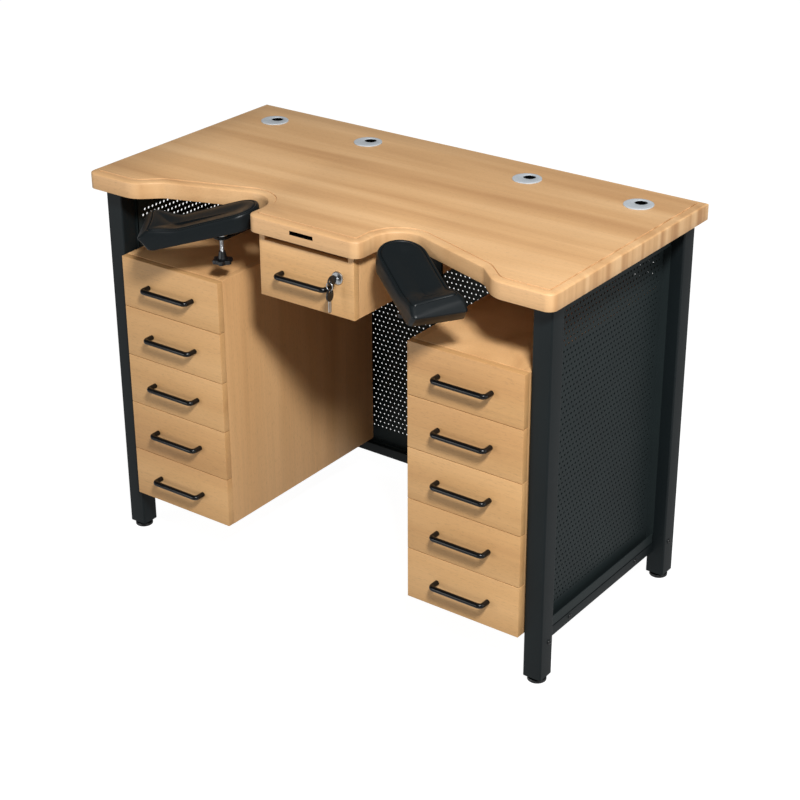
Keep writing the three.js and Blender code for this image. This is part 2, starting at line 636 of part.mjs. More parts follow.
// The lock in the drawer front, the key in it and the spare hanging from the key's bow.
function buildLock(group) {
  const boreEnd = -KEY_INSERTED - CUT_PAST;
  const lock = turned([
    [0, -LOCK_BODY_LENGTH],
    [LOCK_BODY_RADIUS, -LOCK_BODY_LENGTH],
    [LOCK_BODY_RADIUS, 0],
    [LOCK_ROSE_RADIUS, 0],
    [LOCK_ROSE_RADIUS, LOCK_ROSE_HEIGHT / 2],
    [LOCK_ROSE_RADIUS - LOCK_ROSE_HEIGHT / 2, LOCK_ROSE_HEIGHT],
    [LOCK_KEYHOLE_RADIUS, LOCK_ROSE_HEIGHT],
    [LOCK_KEYHOLE_RADIUS, boreEnd],
    [0, boreEnd],
  ]);
  const place = new THREE.Group();
  place.position.set(LOCK_X, 0, LOCK_LIFT);
  group.add(place);
  addPiece(place, "lock_cylinder", geometryOf(solid(lock.rotateX(Math.PI / 2))), STEEL);
  const bowMiddle = KEY_INSERTED - KEY_BLADE_LENGTH - KEY_BOW_LENGTH / 2;
  const key = keySolid();
  addPiece(place, "lock_key", geometryOf(key), PLASTIC_BLACK).position.y = bowMiddle;

  const holeFromMiddle = KEY_BOW_LENGTH / 2 - KEY_HOLE_EDGE;
  const ringTop = -KEY_HOLE_RADIUS + RING_WIRE + FIT;
  const ring = new THREE.TorusGeometry(RING_RADIUS, RING_WIRE, HANDLE_SIDES, ROUND_SEGMENTS);
  ring.rotateX(Math.PI / 2);
  const hangHole = ringTop - 2 * RING_RADIUS - KEY_HOLE_RADIUS + RING_WIRE - FIT;
  const hanging = key.rotate([-90, 0, 0]).translate([0, 0, hangHole - holeFromMiddle]);
  const spare = hanging.add(solid(ring).translate([0, 0, ringTop - RING_RADIUS]));
  addPiece(place, "spare_key", geometryOf(spare), PLASTIC_BLACK).position.y = bowMiddle - holeFromMiddle;
}

// Height of the pad's rim above a point along its axis, without and with the raised outer lip.
function padPlane(along) {
  return TOP_HEIGHT - PAD_RIM_DROP - PAD_SLOPE * along;
}

function padRim(along, across) {
  const share = THREE.MathUtils.mapLinear(across, -PAD_RADIUS, PAD_RADIUS, PAD_LIP_NEAR, 1);
  const rise = PAD_LIP_RISE * THREE.MathUtils.smoothstep(along, PAD_LIP_START, PAD_LENGTH);
  return padPlane(along) + share * rise;
}

// The dished armrest pad: rings stepped in from one plan outline, from the underside up and over.
function padSolid() {
  const outline = roundedOutline([
    [-PAD_RADIUS, -PAD_RADIUS, PAD_RADIUS],
    [PAD_LENGTH, -PAD_RADIUS, PAD_END_CORNER],
    [PAD_LENGTH, PAD_RADIUS, PAD_END_CORNER],
    [-PAD_RADIUS, PAD_RADIUS, PAD_RADIUS],
  ]).getPoints();
  const plan = outline.slice(0, -1).flatMap((point, i) => {
    const next = outline[i + 1];
    const parts = Math.max(1, Math.round(point.distanceTo(next) / PAD_STATION));
    return Array.from({ length: parts }, (_, k) => point.clone().lerp(next, k / parts));
  });
  const ring = (inset, height, reach = 0, sway = 0) => plan.map((point) => {
    const spine = new THREE.Vector2(THREE.MathUtils.clamp(point.x, 0, PAD_LENGTH - PAD_RADIUS), 0);
    const moved = point.clone().addScaledVector(spine.sub(point).normalize(), inset);
    const end = THREE.MathUtils.smoothstep(point.x, PAD_LENGTH - PAD_END_ZONE, PAD_LENGTH);
    moved.x += reach * end;
    moved.y += sway * end * THREE.MathUtils.smoothstep(point.y, -PAD_RADIUS, PAD_RADIUS);
    return new THREE.Vector3(moved.x, moved.y, height(moved.x, moved.y));
  });
  const under = (lift) => (along) => padPlane(0) - PAD_THICKNESS - PAD_UNDER_SLOPE * along + lift;
  const rim = (fall) => (along, across) => padRim(along, across) - fall;
  const nose = (along, across) =>
    THREE.MathUtils.lerp(under(0)(along), padRim(along, across), PAD_NOSE_SHARE);
  const bead = PAD_EDGE_ROUND;
  const body = loft([
    ring(PAD_DISH_FLAT, under(0), -PAD_END_TUCK),
    ring(bead / 2 - PAD_FLARE, under(0), -PAD_END_TUCK, PAD_SWAY),
    ring(-PAD_FLARE, under(bead / 2), -PAD_END_TUCK / 2, PAD_SWAY),
    ring(-PAD_FLARE / 2, nose, PAD_NOSE_REACH, PAD_SWAY),
    ring(0, rim(bead), PAD_NOSE_REACH / 2, PAD_SWAY / 2),
    ring(bead / 4, rim(PAD_GROOVE)),
    ring(bead / 2, rim(PAD_GROOVE / 2)),
    ring(bead, rim(PAD_GROOVE)),
    ring(PAD_DISH_STEP, rim(0)),
    ring(PAD_RADIUS / 2, rim(PAD_DISH / 2)),
    ring(PAD_DISH_FLAT, rim(PAD_DISH)),
  ]);
  const bossTop = padPlane(POST_ALONG) - PAD_THICKNESS / 2;
  const boss = roundBar(PAD_BOSS_RADIUS, TOP_HEIGHT - PAD_BOSS_DROP, bossTop);
  return body.add(solid(boss.translate(POST_ALONG, 0, 0)));
}

// One armrest on the right: bracket under the worktop, screw and knob, collar and pad.
function buildArmrest(side, sign) {
  const group = new THREE.Group();
  group.scale.x = sign;
  bench.add(group);
  const padX = TONGUE_HALF + PAD_FROM_TONGUE;
  const padY = FRONT_Y + PAD_FROM_FRONT;
  const postX = padX + POST_ALONG * Math.cos(PAD_HEADING);
  const postY = padY + POST_ALONG * Math.sin(PAD_HEADING);
  const pad = addPiece(group, `armrest_pad_${side}`, geometryOf(padSolid()), PAD_BLACK);
  pad.position.set(padX, padY, 0);
  pad.rotation.z = PAD_HEADING;

  const post = new THREE.Group();
  post.position.set(postX, postY, 0);
  group.add(post);
  const collarTop = TOP_HEIGHT - PAD_BOSS_DROP - FIT;
  const collarLow = collarTop - COLLAR_HEIGHT;
  const bore = SCREW_RADIUS + FIT;
  const collar = turned([
    [0, collarTop - COLLAR_CAP],
    [bore, collarTop - COLLAR_CAP],
    [bore, collarLow],
    [COLLAR_RADIUS, collarLow],
    [COLLAR_RADIUS, collarTop],
    [0, collarTop],
  ]);
  addPiece(post, `armrest_collar_${side}`, geometryOf(solid(collar)), STEEL);

  const plateTop = collarLow - FIT;
  const plateLow = plateTop - BRACKET_PLATE;
  const edgeSlope = (SHOULDER_DEPTH - CUT_DEPTH) / (SHOULDER_X - TONGUE_HALF);
  const edgeY = FRONT_Y + CUT_DEPTH + edgeSlope * (postX - TONGUE_HALF);
  const webY = edgeY + BRACKET_WEB_BACK - postY;
  const bent = sheetSection(
    [
      [0, plateLow],
      [webY, plateLow],
      [webY, UNDERSIDE - BRACKET_PLATE],
      [webY + BRACKET_FLANGE, UNDERSIDE - BRACKET_PLATE],
    ],
    BRACKET_PLATE,
  );
  const strip = new THREE.ExtrudeGeometry(bent, { depth: BRACKET_WIDTH, bevelEnabled: false });
  strip.translate(0, 0, -BRACKET_WIDTH / 2).rotateX(Math.PI / 2).rotateZ(Math.PI / 2);
  const nose = solid(roundBar(BRACKET_WIDTH / 2, plateLow, plateTop));
  const tapped = solid(roundBar(bore, plateLow - CUT_PAST, plateTop + CUT_PAST));
  const bracket = solid(strip).add(nose).subtract(tapped);
  addPiece(post, `armrest_bracket_${side}`, geometryOf(bracket), STEEL);

  const screwLow = plateLow - SCREW_DROP;
  const screw = roundBar(SCREW_RADIUS, screwLow, collarTop - COLLAR_CAP - FIT);
  addPiece(post, `armrest_screw_${side}`, geometryOf(solid(screw)), STEEL);

  const hubTop = plateLow - HUB_GAP;
  const gripTop = hubTop - HUB_HEIGHT;
  const steps = KNOB_LOBES * KNOB_LOBE_STEPS;
  const star = Array.from({ length: steps }, (_, k) => {
    const radius = KNOB_RADIUS + KNOB_LOBE * Math.cos((2 * Math.PI * k) / KNOB_LOBE_STEPS);
    return new THREE.Vector2(radius, 0).rotateAround(new THREE.Vector2(), (2 * Math.PI * k) / steps);
  });
  const grip = solid(prism(new THREE.Shape(star), gripTop - KNOB_HEIGHT, gripTop));
  const hub = solid(roundBar(HUB_RADIUS, gripTop - CUT_PAST, hubTop));
  const knobBore = solid(roundBar(bore, screwLow - FIT, hubTop + CUT_PAST));
  addPiece(post, `armrest_knob_${side}`, geometryOf(grip.add(hub).subtract(knobBore)), PLASTIC_BLACK);
}

buildWorktop();
buildGrommets();
buildLegsAndFeet();
buildRailsAndPanels();
buildPedestals();
buildCentreDrawer();
buildArmrest("left", -1);
buildArmrest("right", 1);

// The origin is the middle of the footprint on the floor.
const part = new THREE.Group();
part.add(bench);
part.updateMatrixWorld(true);
bench.position.y = -new THREE.Box3().setFromObject(bench, true).getCenter(new THREE.Vector3()).y;

export default part;
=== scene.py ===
"""Looks of a goldsmith's workbench: beech boards, powder-coated frame, perforated sheet, armrests.

Sizes are millimetres in the bench's own frame (x = 0 in the middle, y = 0 in the middle of the
worktop's depth, floor at z = 0). put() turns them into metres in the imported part's frame.
"""
import math

import bmesh
import bpy
import numpy as np
from mathutils import Matrix, Vector
from mathutils.geometry import delaunay_2d_cdt


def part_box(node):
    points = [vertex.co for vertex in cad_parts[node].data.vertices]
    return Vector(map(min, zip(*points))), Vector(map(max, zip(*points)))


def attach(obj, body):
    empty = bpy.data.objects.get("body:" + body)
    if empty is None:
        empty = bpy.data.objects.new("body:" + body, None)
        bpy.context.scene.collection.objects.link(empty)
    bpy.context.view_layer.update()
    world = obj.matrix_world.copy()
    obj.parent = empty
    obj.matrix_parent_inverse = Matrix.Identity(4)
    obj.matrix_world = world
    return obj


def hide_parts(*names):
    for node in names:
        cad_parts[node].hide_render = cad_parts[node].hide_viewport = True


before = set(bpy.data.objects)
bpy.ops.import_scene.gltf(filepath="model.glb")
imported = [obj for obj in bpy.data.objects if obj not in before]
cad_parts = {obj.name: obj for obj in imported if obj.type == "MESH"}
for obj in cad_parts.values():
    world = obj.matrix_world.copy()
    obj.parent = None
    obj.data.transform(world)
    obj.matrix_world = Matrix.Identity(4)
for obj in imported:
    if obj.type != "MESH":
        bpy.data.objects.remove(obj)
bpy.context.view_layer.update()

MM = 0.001
TOP_LOW, TOP_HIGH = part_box("bench_top")
SHIFT = np.array([0.0, (TOP_LOW.y + TOP_HIGH.y) / 2, 0.0])
SIDES = (("left", -1), ("right", 1))

# Worktop
HALF_WIDTH, FRONT_Y, BACK_Y = 600.0, -306.0, 306.0
TOP_Z, UNDER_Z = 900.0, 860.0
TONGUE_HALF, SCALLOP_DEEP, WING_X, WING_DEEP = 145.0, 137.0, 416.0, 45.0
RIM_RUN, RIM_STEP, RIM_FALL, RIM_QUIRK = 16.0, 1.6, 5.0, 1.6
SLOT_HALF, SLOT_LOW, SLOT_HIGH, SLOT_LENGTH = 31.0, 876.0, 885.5, 60.0
# Black sheets of painted shade inside the pin slot: thickness, and gap to the slot's walls
SLOT_SHADE_SHEET, SLOT_SHADE_GAP = 0.4, 0.2
GROMMET_X, GROMMET_Y = (-490.0, -215.0, 215.0, 490.0), 205.0
GROMMET_NAMES = ("outer_left", "inner_left", "inner_right", "outer_right")
# Bore radius of the cable holes; radius, height and thickness of the black disc of painted shade in each
HOLE_RADIUS, SHADE_DISC_RADIUS, SHADE_DISC_LOW, SHADE_DISC_THICK = 29.3, 26.7, 897.0, 1.5
# Rings of a grommet: radius, shift of the centre towards the back, height
GROMMET_STEPS = ((32.5, 0, 900.3), (32.5, 0, 901.2), (32.2, 0, 901.9), (31.4, 0, 902.3), (30.2, 0, 902.4),
                 (14.8, 9.7, 902.4), (14.1, 10, 902.1), (13.8, 10, 901.2), (13.8, 10, 900.4),
                 (27, 0, 899.0), (27, 0, 878), (29, 0, 878), (29, 0, 900.3))
# Frame
LEG, LEG_OUTER_X, LEG_FRONT_Y, LEG_BACK_Y, LEG_END = 44.0, 581.0, -272.0, 289.5, 13.0
RAIL, RAIL_LOW, RAIL_OUTER_X = 25.0, 65.0, 551.0
LEG_CORNER, RAIL_CORNER = 4.0, 2.0
RAIL_LEVELS = (("bottom", RAIL_LOW), ("top", UNDER_Z - RAIL))
SHEET, HEM, BACK_RETURN = 1.5, 24.0, 14.0
PANEL_LOW, PANEL_HIGH, PANEL_INNER_X = 90.0, 835.0, 532.3
SIDE_COLUMNS, BACK_COLUMNS, PANEL_ROWS = 36, 84, 54
HOLE_PITCH, SIDE_HOLE, BACK_HOLE, MARGIN_SEAM = 12.5, 3.1, 2.15, 0.02
SEAT = 0.3
# Black sheets of painted shade behind the side panels: near and far gap from the pedestal, inset at the
# ends
SHADE_SHEET_NEAR, SHADE_SHEET_FAR, SHADE_SHEET_INSET = 0.05, 0.2, 2.0
# Turned profiles: radius, height
FOOT_PROFILE = ((19.5, 0), (20.5, 0.8), (20.5, 5.2), (19.6, 6.6), (17.5, 7), (9, 7.2),
                (9, LEG_END - SEAT), (5, LEG_END - SEAT), (5, 45))
BOLT_PROFILE = ((5.5, 0), (5.5, 0.8), (5.0, 1.9), (3.6, 2.7), (2.6, 2.9), (2.4, 1.6))
RAIL_BOLTS_Y, RAIL_BOLT_Z = (-111, 168), 79
LEG_BOLTS_Y, LEG_BOLT_Z = (-243, 265), 95
# Drawers
FACE_Y, FRONT_THICK, PITCH, REVEAL, BAYS = -286.5, 17.5, 120.0, 1.5, 5
PEDESTAL_INNER_X, PEDESTAL_OUTER_X, PEDESTAL_LOW = 252.0, 532.0, 109.0
PEDESTAL_HIGH = PEDESTAL_LOW + BAYS * PITCH
CARCASS_WALL, CARCASS_BACK, CARCASS_DEPTH = 16.0, 8.0, 530.0
RUNNER, RUNNER_LOW, RUNNER_SET = 10.0, 10.0, 6.0
BOX_WALL, BOX_FLOOR, BOX_WIDTH, BOX_HEIGHT, BOX_LENGTH = 12.0, 6.0, 245.0, 80.0, 490.0
BOX_LIFT = RUNNER_LOW + RUNNER + SEAT
CENTRE_HALF, CENTRE_FACE_Y, CENTRE_LOW = 123.5, -291.3, 718.5
CENTRE_DEPTH, CENTRE_WALL, CENTRE_FLOOR, CENTRE_HANDLE = 390.0, 15.0, 9.0, 61.0
CENTRE_BOX_WIDTH, CENTRE_BOX_HEIGHT, CENTRE_BOX_LENGTH = 214.0, 104.0, 350.0
EAR_HIGH, NOTCH_HIGH, NOTCH_HALF = 140.0, 125.2, 109.0
HANDLE_HALF, HANDLE_REACH, HANDLE_RADIUS, HANDLE_BEND = 64.0, 25.0, 5.75, 9.0
LOCK_X, LOCK_Z = 82.5, 804.5
ROSE_PROFILE = ((9.5, 24), (9.5, 0), (14, 0), (14, -1.8), (13.4, -3.2), (12.2, -4), (10.2, -4),
                (10.0, -3.4), (4.9, -3.4), (4.8, -3))
KEY_DEPTH, KEY_LENGTH, BLADE_LOW, BLADE_HIGH = 19.0, 25.0, 12.0, 38.5
BOW_LONG, BOW_WIDE, BOW_HOLE, BOW_EDGE = 13.5, 11.0, 3.6, 5.4
RING_RADIUS, RING_WIRE = 8.0, 1.0


# Surfaces

def put(points):
    """Bench millimetres to metres in the part's frame."""
    return np.asarray(points, float) * MM + SHIFT


def weave(points, closed_u=False, closed_v=False):
    """Quads over a grid of points: (i, j), (i+1, j), (i+1, j+1), (i, j+1), wrapped where closed."""
    rows, columns = points.shape[:2]
    index = np.arange(rows * columns).reshape(rows, columns)
    if closed_u:
        index = np.vstack([index, index[:1]])
    if closed_v:
        index = np.hstack([index, index[:, :1]])
    quads = np.stack([index[:-1, :-1], index[1:, :-1], index[1:, 1:], index[:-1, 1:]], -1)
    return points.reshape(-1, 3), quads.reshape(-1, 4).tolist()


def shell(rings):
    """A closed skin through rings of equal count, its two ends closed by flat faces."""
    points, faces = weave(rings, closed_v=True)
    rows, columns = rings.shape[:2]
    first = list(range(columns))
    last = list(range((rows - 1) * columns, rows * columns))
    return points, faces + [first[::-1], last]


def make(name, parts, finish, body, smooth=35.0):
    """One piece from (points, faces) parts in bench millimetres: joined, faced outwards, smoothed."""
    points, faces, start = [], [], 0
    for part_points, part_faces in parts:
        points.append(put(part_points))
        faces += [[i + start for i in face] for face in part_faces]
        start += len(part_points)
    mesh = bpy.data.meshes.new(name)
    mesh.from_pydata(np.vstack(points).tolist(), [], faces)
    work = bmesh.new()
    work.from_mesh(mesh)
    bmesh.ops.remove_doubles(work, verts=work.verts, dist=1e-6)
    bmesh.ops.recalc_face_normals(work, faces=work.faces)
    work.to_mesh(mesh)
    work.free()
    if smooth:
        mesh.polygons.foreach_set("use_smooth", [True] * len(mesh.polygons))
        mesh.set_sharp_from_angle(angle=math.radians(smooth))
    piece = bpy.data.objects.new(name, mesh)
    bpy.context.scene.collection.objects.link(piece)
    mesh.materials.append(finish)
    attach(piece, body)
    return piece


def arc(start, stop, count):
    """Cosine and sine along an arc given in degrees, as two arrays."""
    angle = np.radians(np.linspace(start, stop, count))
    return np.cos(angle), np.sin(angle)


def rounded(corners, step=7.0):
    """A closed plan outline through [x, y, radius] corners, each corner an arc of its radius."""
    plan = np.array([c[:2] for c in corners], float)
    out = []
    for i, corner in enumerate(plan):
        radius = corners[i][2]
        back, ahead = plan[i - 1] - corner, plan[(i + 1) % len(plan)] - corner
        if not radius:
            out.append(corner[None])
            continue
        back, ahead = back / np.hypot(*back), ahead / np.hypot(*ahead)
        half = math.acos(float(np.clip(back @ ahead, -1, 1))) / 2
        centre = corner + (back + ahead) / np.hypot(*(back + ahead)) * radius / math.sin(half)
        arm = corner + back * radius / math.tan(half) - centre
        turn = (math.pi - 2 * half) * -np.sign(back[0] * ahead[1] - back[1] * ahead[0])
        angle = np.linspace(0, turn, max(3, int(abs(math.degrees(turn)) / step) + 1))
        cos, sin = np.cos(angle), np.sin(angle)
        out.append(centre + np.stack([arm[0] * cos - arm[1] * sin, arm[0] * sin + arm[1] * cos], -1))
    return np.vstack(out)


def inset(outline, distance):
    """Every edge of a counter-clockwise outline moved in by the distance, corners mitred."""
    ahead = np.roll(outline, -1, 0) - outline
    ahead /= np.linalg.norm(ahead, axis=1, keepdims=True)
    normal = np.stack([-ahead[:, 1], ahead[:, 0]], -1)
    before = np.roll(normal, 1, 0)
    return outline + distance * (normal + before) / (1 + (normal * before).sum(1, keepdims=True))


def level(outline, z):
    """A plan outline lifted to one height."""
    return np.column_stack([outline, np.full(len(outline), z)])


def turned(profile, centre, axis="z", segments=40):
    """A turned piece: a profile of (radius, height) spun about an axis through the centre point."""
    profile = np.asarray(profile, float)
    cos, sin = arc(0, 360, segments + 1)
    radius, height = profile[:, :1], profile[:, 1:]
    across, up, along = radius * cos[:-1], radius * sin[:-1], np.repeat(height, segments, 1)
    order = {"z": (across, up, along), "y": (across, along, up), "x": (along, across, up)}[axis]
    return shell(np.stack(order, -1) + np.asarray(centre, float))


def board(low, high, axis, ease=0.8):
    """A board with eased edges: a rounded rectangle stepped in at both ends of the chosen axis."""
    low, high = np.asarray(low, float), np.asarray(high, float)
    a, b = [i for i in range(3) if i != axis]
    cos, sin = arc(0, 90, 4)
    inner = np.array([[high[a], high[b]], [low[a], high[b]], [low[a], low[b]], [high[a], low[b]]])
    inner += np.array([[-1, -1], [1, -1], [1, 1], [-1, 1]]) * ease
    angle = np.radians(np.linspace(0, 90, 4))[None] + np.radians([0, 90, 180, 270])[:, None]
    steps = ease * (1 - np.concatenate([sin, sin[::-1]]))
    height = np.concatenate([low[axis] + ease * (1 - cos), high[axis] - ease * (1 - cos[::-1])])
    rings = []
    for step, z in zip(steps, height):
        radius = ease - step
        ring = inner[:, None] + radius * np.stack([np.cos(angle), np.sin(angle)], -1)
        ring = ring.reshape(-1, 2)
        full = np.empty((len(ring), 3))
        full[:, a], full[:, b], full[:, axis] = ring[:, 0], ring[:, 1], z
        rings.append(full)
    return shell(np.array(rings))


def block(low, high):
    """A plain sheet or bar between two corners."""
    x, y, z = zip(low, high)
    turn = ((0, 0), (1, 0), (1, 1), (0, 1))
    return shell(np.array([[[x[i], y[j], height] for i, j in turn] for height in z]))


def bar(path, radius, sides=16):
    """A round bar along a path in a plane of constant z: circles set across the mean direction."""
    path = np.asarray(path, float)
    run = np.diff(path, axis=0)
    run /= np.linalg.norm(run, axis=1, keepdims=True)
    before, after = np.vstack([run[:1], run]), np.vstack([run, run[-1:]])
    along = before + after
    along /= np.linalg.norm(along, axis=1, keepdims=True)
    stretch = 1 / (along * after).sum(1)
    side = np.stack([-along[:, 1], along[:, 0], np.zeros(len(path))], -1) * stretch[:, None]
    cos, sin = arc(0, 360, sides + 1)
    ring = side[:, None] * cos[None, :-1, None] + np.array([0, 0, 1.0]) * sin[None, :-1, None]
    return shell(path[:, None] + radius * ring)


def tube(low, high, axis, corner):
    """A square tube with rounded long edges, ends closed."""
    low, high = np.asarray(low, float), np.asarray(high, float)
    a, b = [i for i in range(3) if i != axis]
    plan = rounded([[low[a], low[b], corner], [high[a], low[b], corner],
                    [high[a], high[b], corner], [low[a], high[b], corner]], 15)
    rings = np.empty((2, len(plan), 3))
    rings[:, :, a], rings[:, :, b] = plan[:, 0], plan[:, 1]
    rings[0, :, axis], rings[1, :, axis] = low[axis], high[axis]
    return shell(rings)


def perforated(width, height, columns, rows, radius):
    """A flat plate in (u, v) with staggered hexagonal holes.

    Each cell of one pitch is six quads between its rim (corners and middles of the level sides) and a
    hexagon; every second row moves half a pitch, and half cells without a hole fill its two ends.
    """
    left, low = -columns * HOLE_PITCH / 2, -rows * HOLE_PITCH / 2
    half = HOLE_PITCH / 2
    rim = np.array([[-1, -1], [0, -1], [1, -1], [1, 1], [0, 1], [-1, 1]]) * half
    angle = np.radians([210, 270, 330, 30, 90, 150])
    hexagon = radius * np.stack([np.cos(angle), np.sin(angle)], -1)
    row, column = np.meshgrid(np.arange(rows), np.arange(columns), indexing="ij")
    hole_u = left + (column + 0.5 + 0.5 * (row % 2)) * HOLE_PITCH
    centre = np.stack([hole_u, low + (row + 0.5) * HOLE_PITCH], -1)
    centre = centre[(row % 2 == 0) | (column < columns - 1)]
    count = len(centre)
    flat = np.concatenate([centre[:, None] + rim, centre[:, None] + hexagon], 1)
    base = (np.arange(count) * 12)[:, None, None]
    here = np.arange(6)
    ahead = (here + 1) % 6
    ring = np.stack([here, ahead, ahead + 6, here + 6], -1)[None]
    field = (base + ring).reshape(-1, 4)
    ends = np.arange(1, rows, 2)
    corner = np.array([[0, 0], [half, 0], [half, HOLE_PITCH], [0, HOLE_PITCH]])
    starts = np.concatenate([np.stack([np.full(len(ends), x), low + ends * HOLE_PITCH], -1)
                             for x in (left, -left - half)])
    patches = (starts[:, None] + corner).reshape(-1, 2)
    plane = np.vstack([flat.reshape(-1, 2), patches])
    patch_faces = np.arange(len(patches)).reshape(-1, 4) + count * 12
    field = np.vstack([field, patch_faces])
    sheet = np.vstack([np.column_stack([plane, np.full(len(plane), z)]) for z in (0.0, SHEET)])
    lift = len(plane)
    bore = np.stack([here, ahead, ahead + lift, here + lift], -1)[None] + 6
    wall = (base + bore).reshape(-1, 4)
    faces = field.tolist() + (field + lift).tolist() + wall.tolist()
    across = np.linspace(left, -left, 2 * columns + 1)
    upward = np.linspace(low, -low, rows + 1)
    edge = np.vstack([np.column_stack([across[:-1], np.full(2 * columns, low)]),
                      np.column_stack([np.full(rows, -left), upward[:-1]]),
                      np.column_stack([across[:0:-1], np.full(2 * columns, -low)]),
                      np.column_stack([np.full(rows, left), upward[:0:-1]])])
    edge_wall = weave(np.array([level(edge, 0.0), level(edge, SHEET)]), closed_v=True)
    u, v = width / 2, height / 2
    below, beside = low - MARGIN_SEAM, left - MARGIN_SEAM
    margins = [block(a, b) for a, b in (
        ([-u, -v, 0], [u, below, SHEET]), ([-u, -below, 0], [u, v, SHEET]),
        ([-u, low, 0], [beside, -low, SHEET]), ([-beside, low, 0], [u, -low, SHEET]))]
    return [(sheet, faces), edge_wall] + margins


# Finishes

def srgb(red, green, blue):
    """A display colour of 0 to 255 as linear light with full alpha."""
    value = np.array([red, green, blue]) / 255
    linear = np.where(value <= 0.04045, value / 12.92, ((value + 0.055) / 1.055) ** 2.4)
    return (*linear.tolist(), 1.0)


# Sockets of a colour mix node, whose names repeat
MIX_FIRST, MIX_SECOND, MIX_COLOUR = 6, 7, 2


class Finish:
    """A node material built around one Principled shader."""

    def __init__(self, name, colour, roughness, metallic=0.0):
        self.material = bpy.data.materials.new(name)
        self.material.use_nodes = True
        self.tree = self.material.node_tree
        self.shader = self.tree.nodes["Principled BSDF"]
        self.shader.inputs["Base Color"].default_value = colour
        self.shader.inputs["Roughness"].default_value = roughness
        self.shader.inputs["Metallic"].default_value = metallic
        self.place = self.add("ShaderNodeTexCoord").outputs["Object"]

    def add(self, kind, **values):
        node = self.tree.nodes.new(kind)
        for key, value in values.items():
            setattr(node, key, value)
        return node

    def join(self, source, node, socket):
        self.tree.links.new(source, node.inputs[socket])

    def noise(self, scale, detail=3.0, stretch=(1, 1, 1), distortion=0.0):
        mapping = self.add("ShaderNodeMapping")
        mapping.inputs["Scale"].default_value = stretch
        self.join(self.place, mapping, "Vector")
        noise = self.add("ShaderNodeTexNoise")
        noise.inputs["Scale"].default_value = scale
        noise.inputs["Detail"].default_value = detail
        noise.inputs["Distortion"].default_value = distortion
        self.join(mapping.outputs["Vector"], noise, "Vector")
        return noise.outputs["Fac"]

    def ramp(self, source, stops):
        ramp = self.add("ShaderNodeValToRGB")
        elements = ramp.color_ramp.elements
        while len(elements) < len(stops):
            elements.new(0.5)
        for element, (position, colour) in zip(elements, stops):
            element.position, element.color = position, colour
        self.join(source, ramp, "Fac")
        return ramp.outputs["Color"]

    def blend(self, first, second, mode, factor):
        """Two colours mixed; the factor is a number or another node's socket."""
        mix = self.add("ShaderNodeMix", data_type="RGBA", blend_type=mode)
        if isinstance(factor, float):
            mix.inputs["Factor"].default_value = factor
        else:
            self.join(factor, mix, "Factor")
        self.join(first, mix, MIX_FIRST)
        self.join(second, mix, MIX_SECOND)
        return mix.outputs[MIX_COLOUR]

    def span(self, source, low, high):
        spread = self.add("ShaderNodeMapRange")
        spread.inputs["To Min"].default_value = low
        spread.inputs["To Max"].default_value = high
        self.join(source, spread, "Value")
        return spread.outputs["Result"]

    def bump(self, source, strength, distance):
        bump = self.add("ShaderNodeBump")
        bump.inputs["Strength"].default_value = strength
        bump.inputs["Distance"].default_value = distance
        self.join(source, bump, "Height")
        self.join(bump.outputs["Normal"], self.shader, "Normal")


def grey(value):
    """A neutral colour of one linear value."""
    return (value, value, value, 1.0)


def beech(name, along, light, mid, dark, rough=0.5, bands_across=False):
    """Beech: broad tone bands and fine fibre run along one axis, short dark ray flecks lie on them.

    With bands_across, faces that look along x show the glued layers' end grain as upright bands.
    """
    finish = Finish(name, mid, rough)
    band, fibre, fleck = [tuple(slow if axis == along else fine for axis in "xyz")
                          for slow, fine in ((0.55, 9), (3, 260), (90, 620))]
    bands = finish.noise(1.0, 4.0, band, 0.35)
    tone = finish.ramp(bands, [(0.28, dark), (0.47, mid), (0.66, light)])
    lines = finish.noise(1.0, 3.0, fibre)
    shade = finish.ramp(lines, [(0.3, grey(0.86)), (0.7, grey(1.0))])
    tone = finish.blend(tone, shade, "MULTIPLY", 0.55)
    marks = finish.noise(1.0, 1.0, fleck)
    shade = finish.ramp(marks, [(0.3, grey(0.72)), (0.4, grey(1.0))])
    tone = finish.blend(tone, shade, "MULTIPLY", 0.5)
    if bands_across:
        layers = finish.noise(1.0, 2.0, (0.02, 26, 0.02))
        upright = finish.ramp(layers, [(0.38, dark), (0.5, mid), (0.62, light)])
        facing = finish.add("ShaderNodeSeparateXYZ")
        finish.join(finish.add("ShaderNodeNewGeometry").outputs["Normal"], facing, 0)
        steep = finish.add("ShaderNodeMath", operation="ABSOLUTE")
        finish.join(facing.outputs["X"], steep, 0)
        tone = finish.blend(tone, upright, "MIX", steep.outputs[0])
    finish.join(tone, finish.shader, "Base Color")
    finish.join(finish.span(lines, rough - 0.07, rough + 0.1), finish.shader, "Roughness")
    finish.bump(lines, 0.06, 0.0006)
    return finish.material


def powder_coat(name, colour, deep, rough, sheen=0.2):
    """Powder coat: a faint cloudy tone and the fine orange-peel skin of the baked paint."""
    finish = Finish(name, colour, rough)
    cloud = finish.noise(6.0, 3.0)
    finish.join(finish.ramp(cloud, [(0.3, deep), (0.7, colour)]), finish.shader, "Base Color")
    peel = finish.noise(900.0, 2.0)
    finish.join(finish.span(peel, rough - 0.08, rough + 0.08), finish.shader, "Roughness")
    finish.bump(peel, 0.12, 0.0004)
    finish.shader.inputs["Specular IOR Level"].default_value = sheen
    return finish.material


def moulded(name, colour, deep, rough, grain, strength, sheen=0.5):
    """Moulded plastic or skinned foam: a fine pebbled grain under a satin skin."""
    finish = Finish(name, colour, rough)
    pebble = finish.noise(grain, 2.0)
    finish.join(finish.ramp(pebble, [(0.35, deep), (0.65, colour)]), finish.shader, "Base Color")
    wear = finish.span(finish.noise(14.0, 3.0), rough - 0.06, rough + 0.08)
    finish.join(wear, finish.shader, "Roughness")
    finish.bump(pebble, strength, 0.0005)
    finish.shader.inputs["Specular IOR Level"].default_value = sheen
    return finish.material


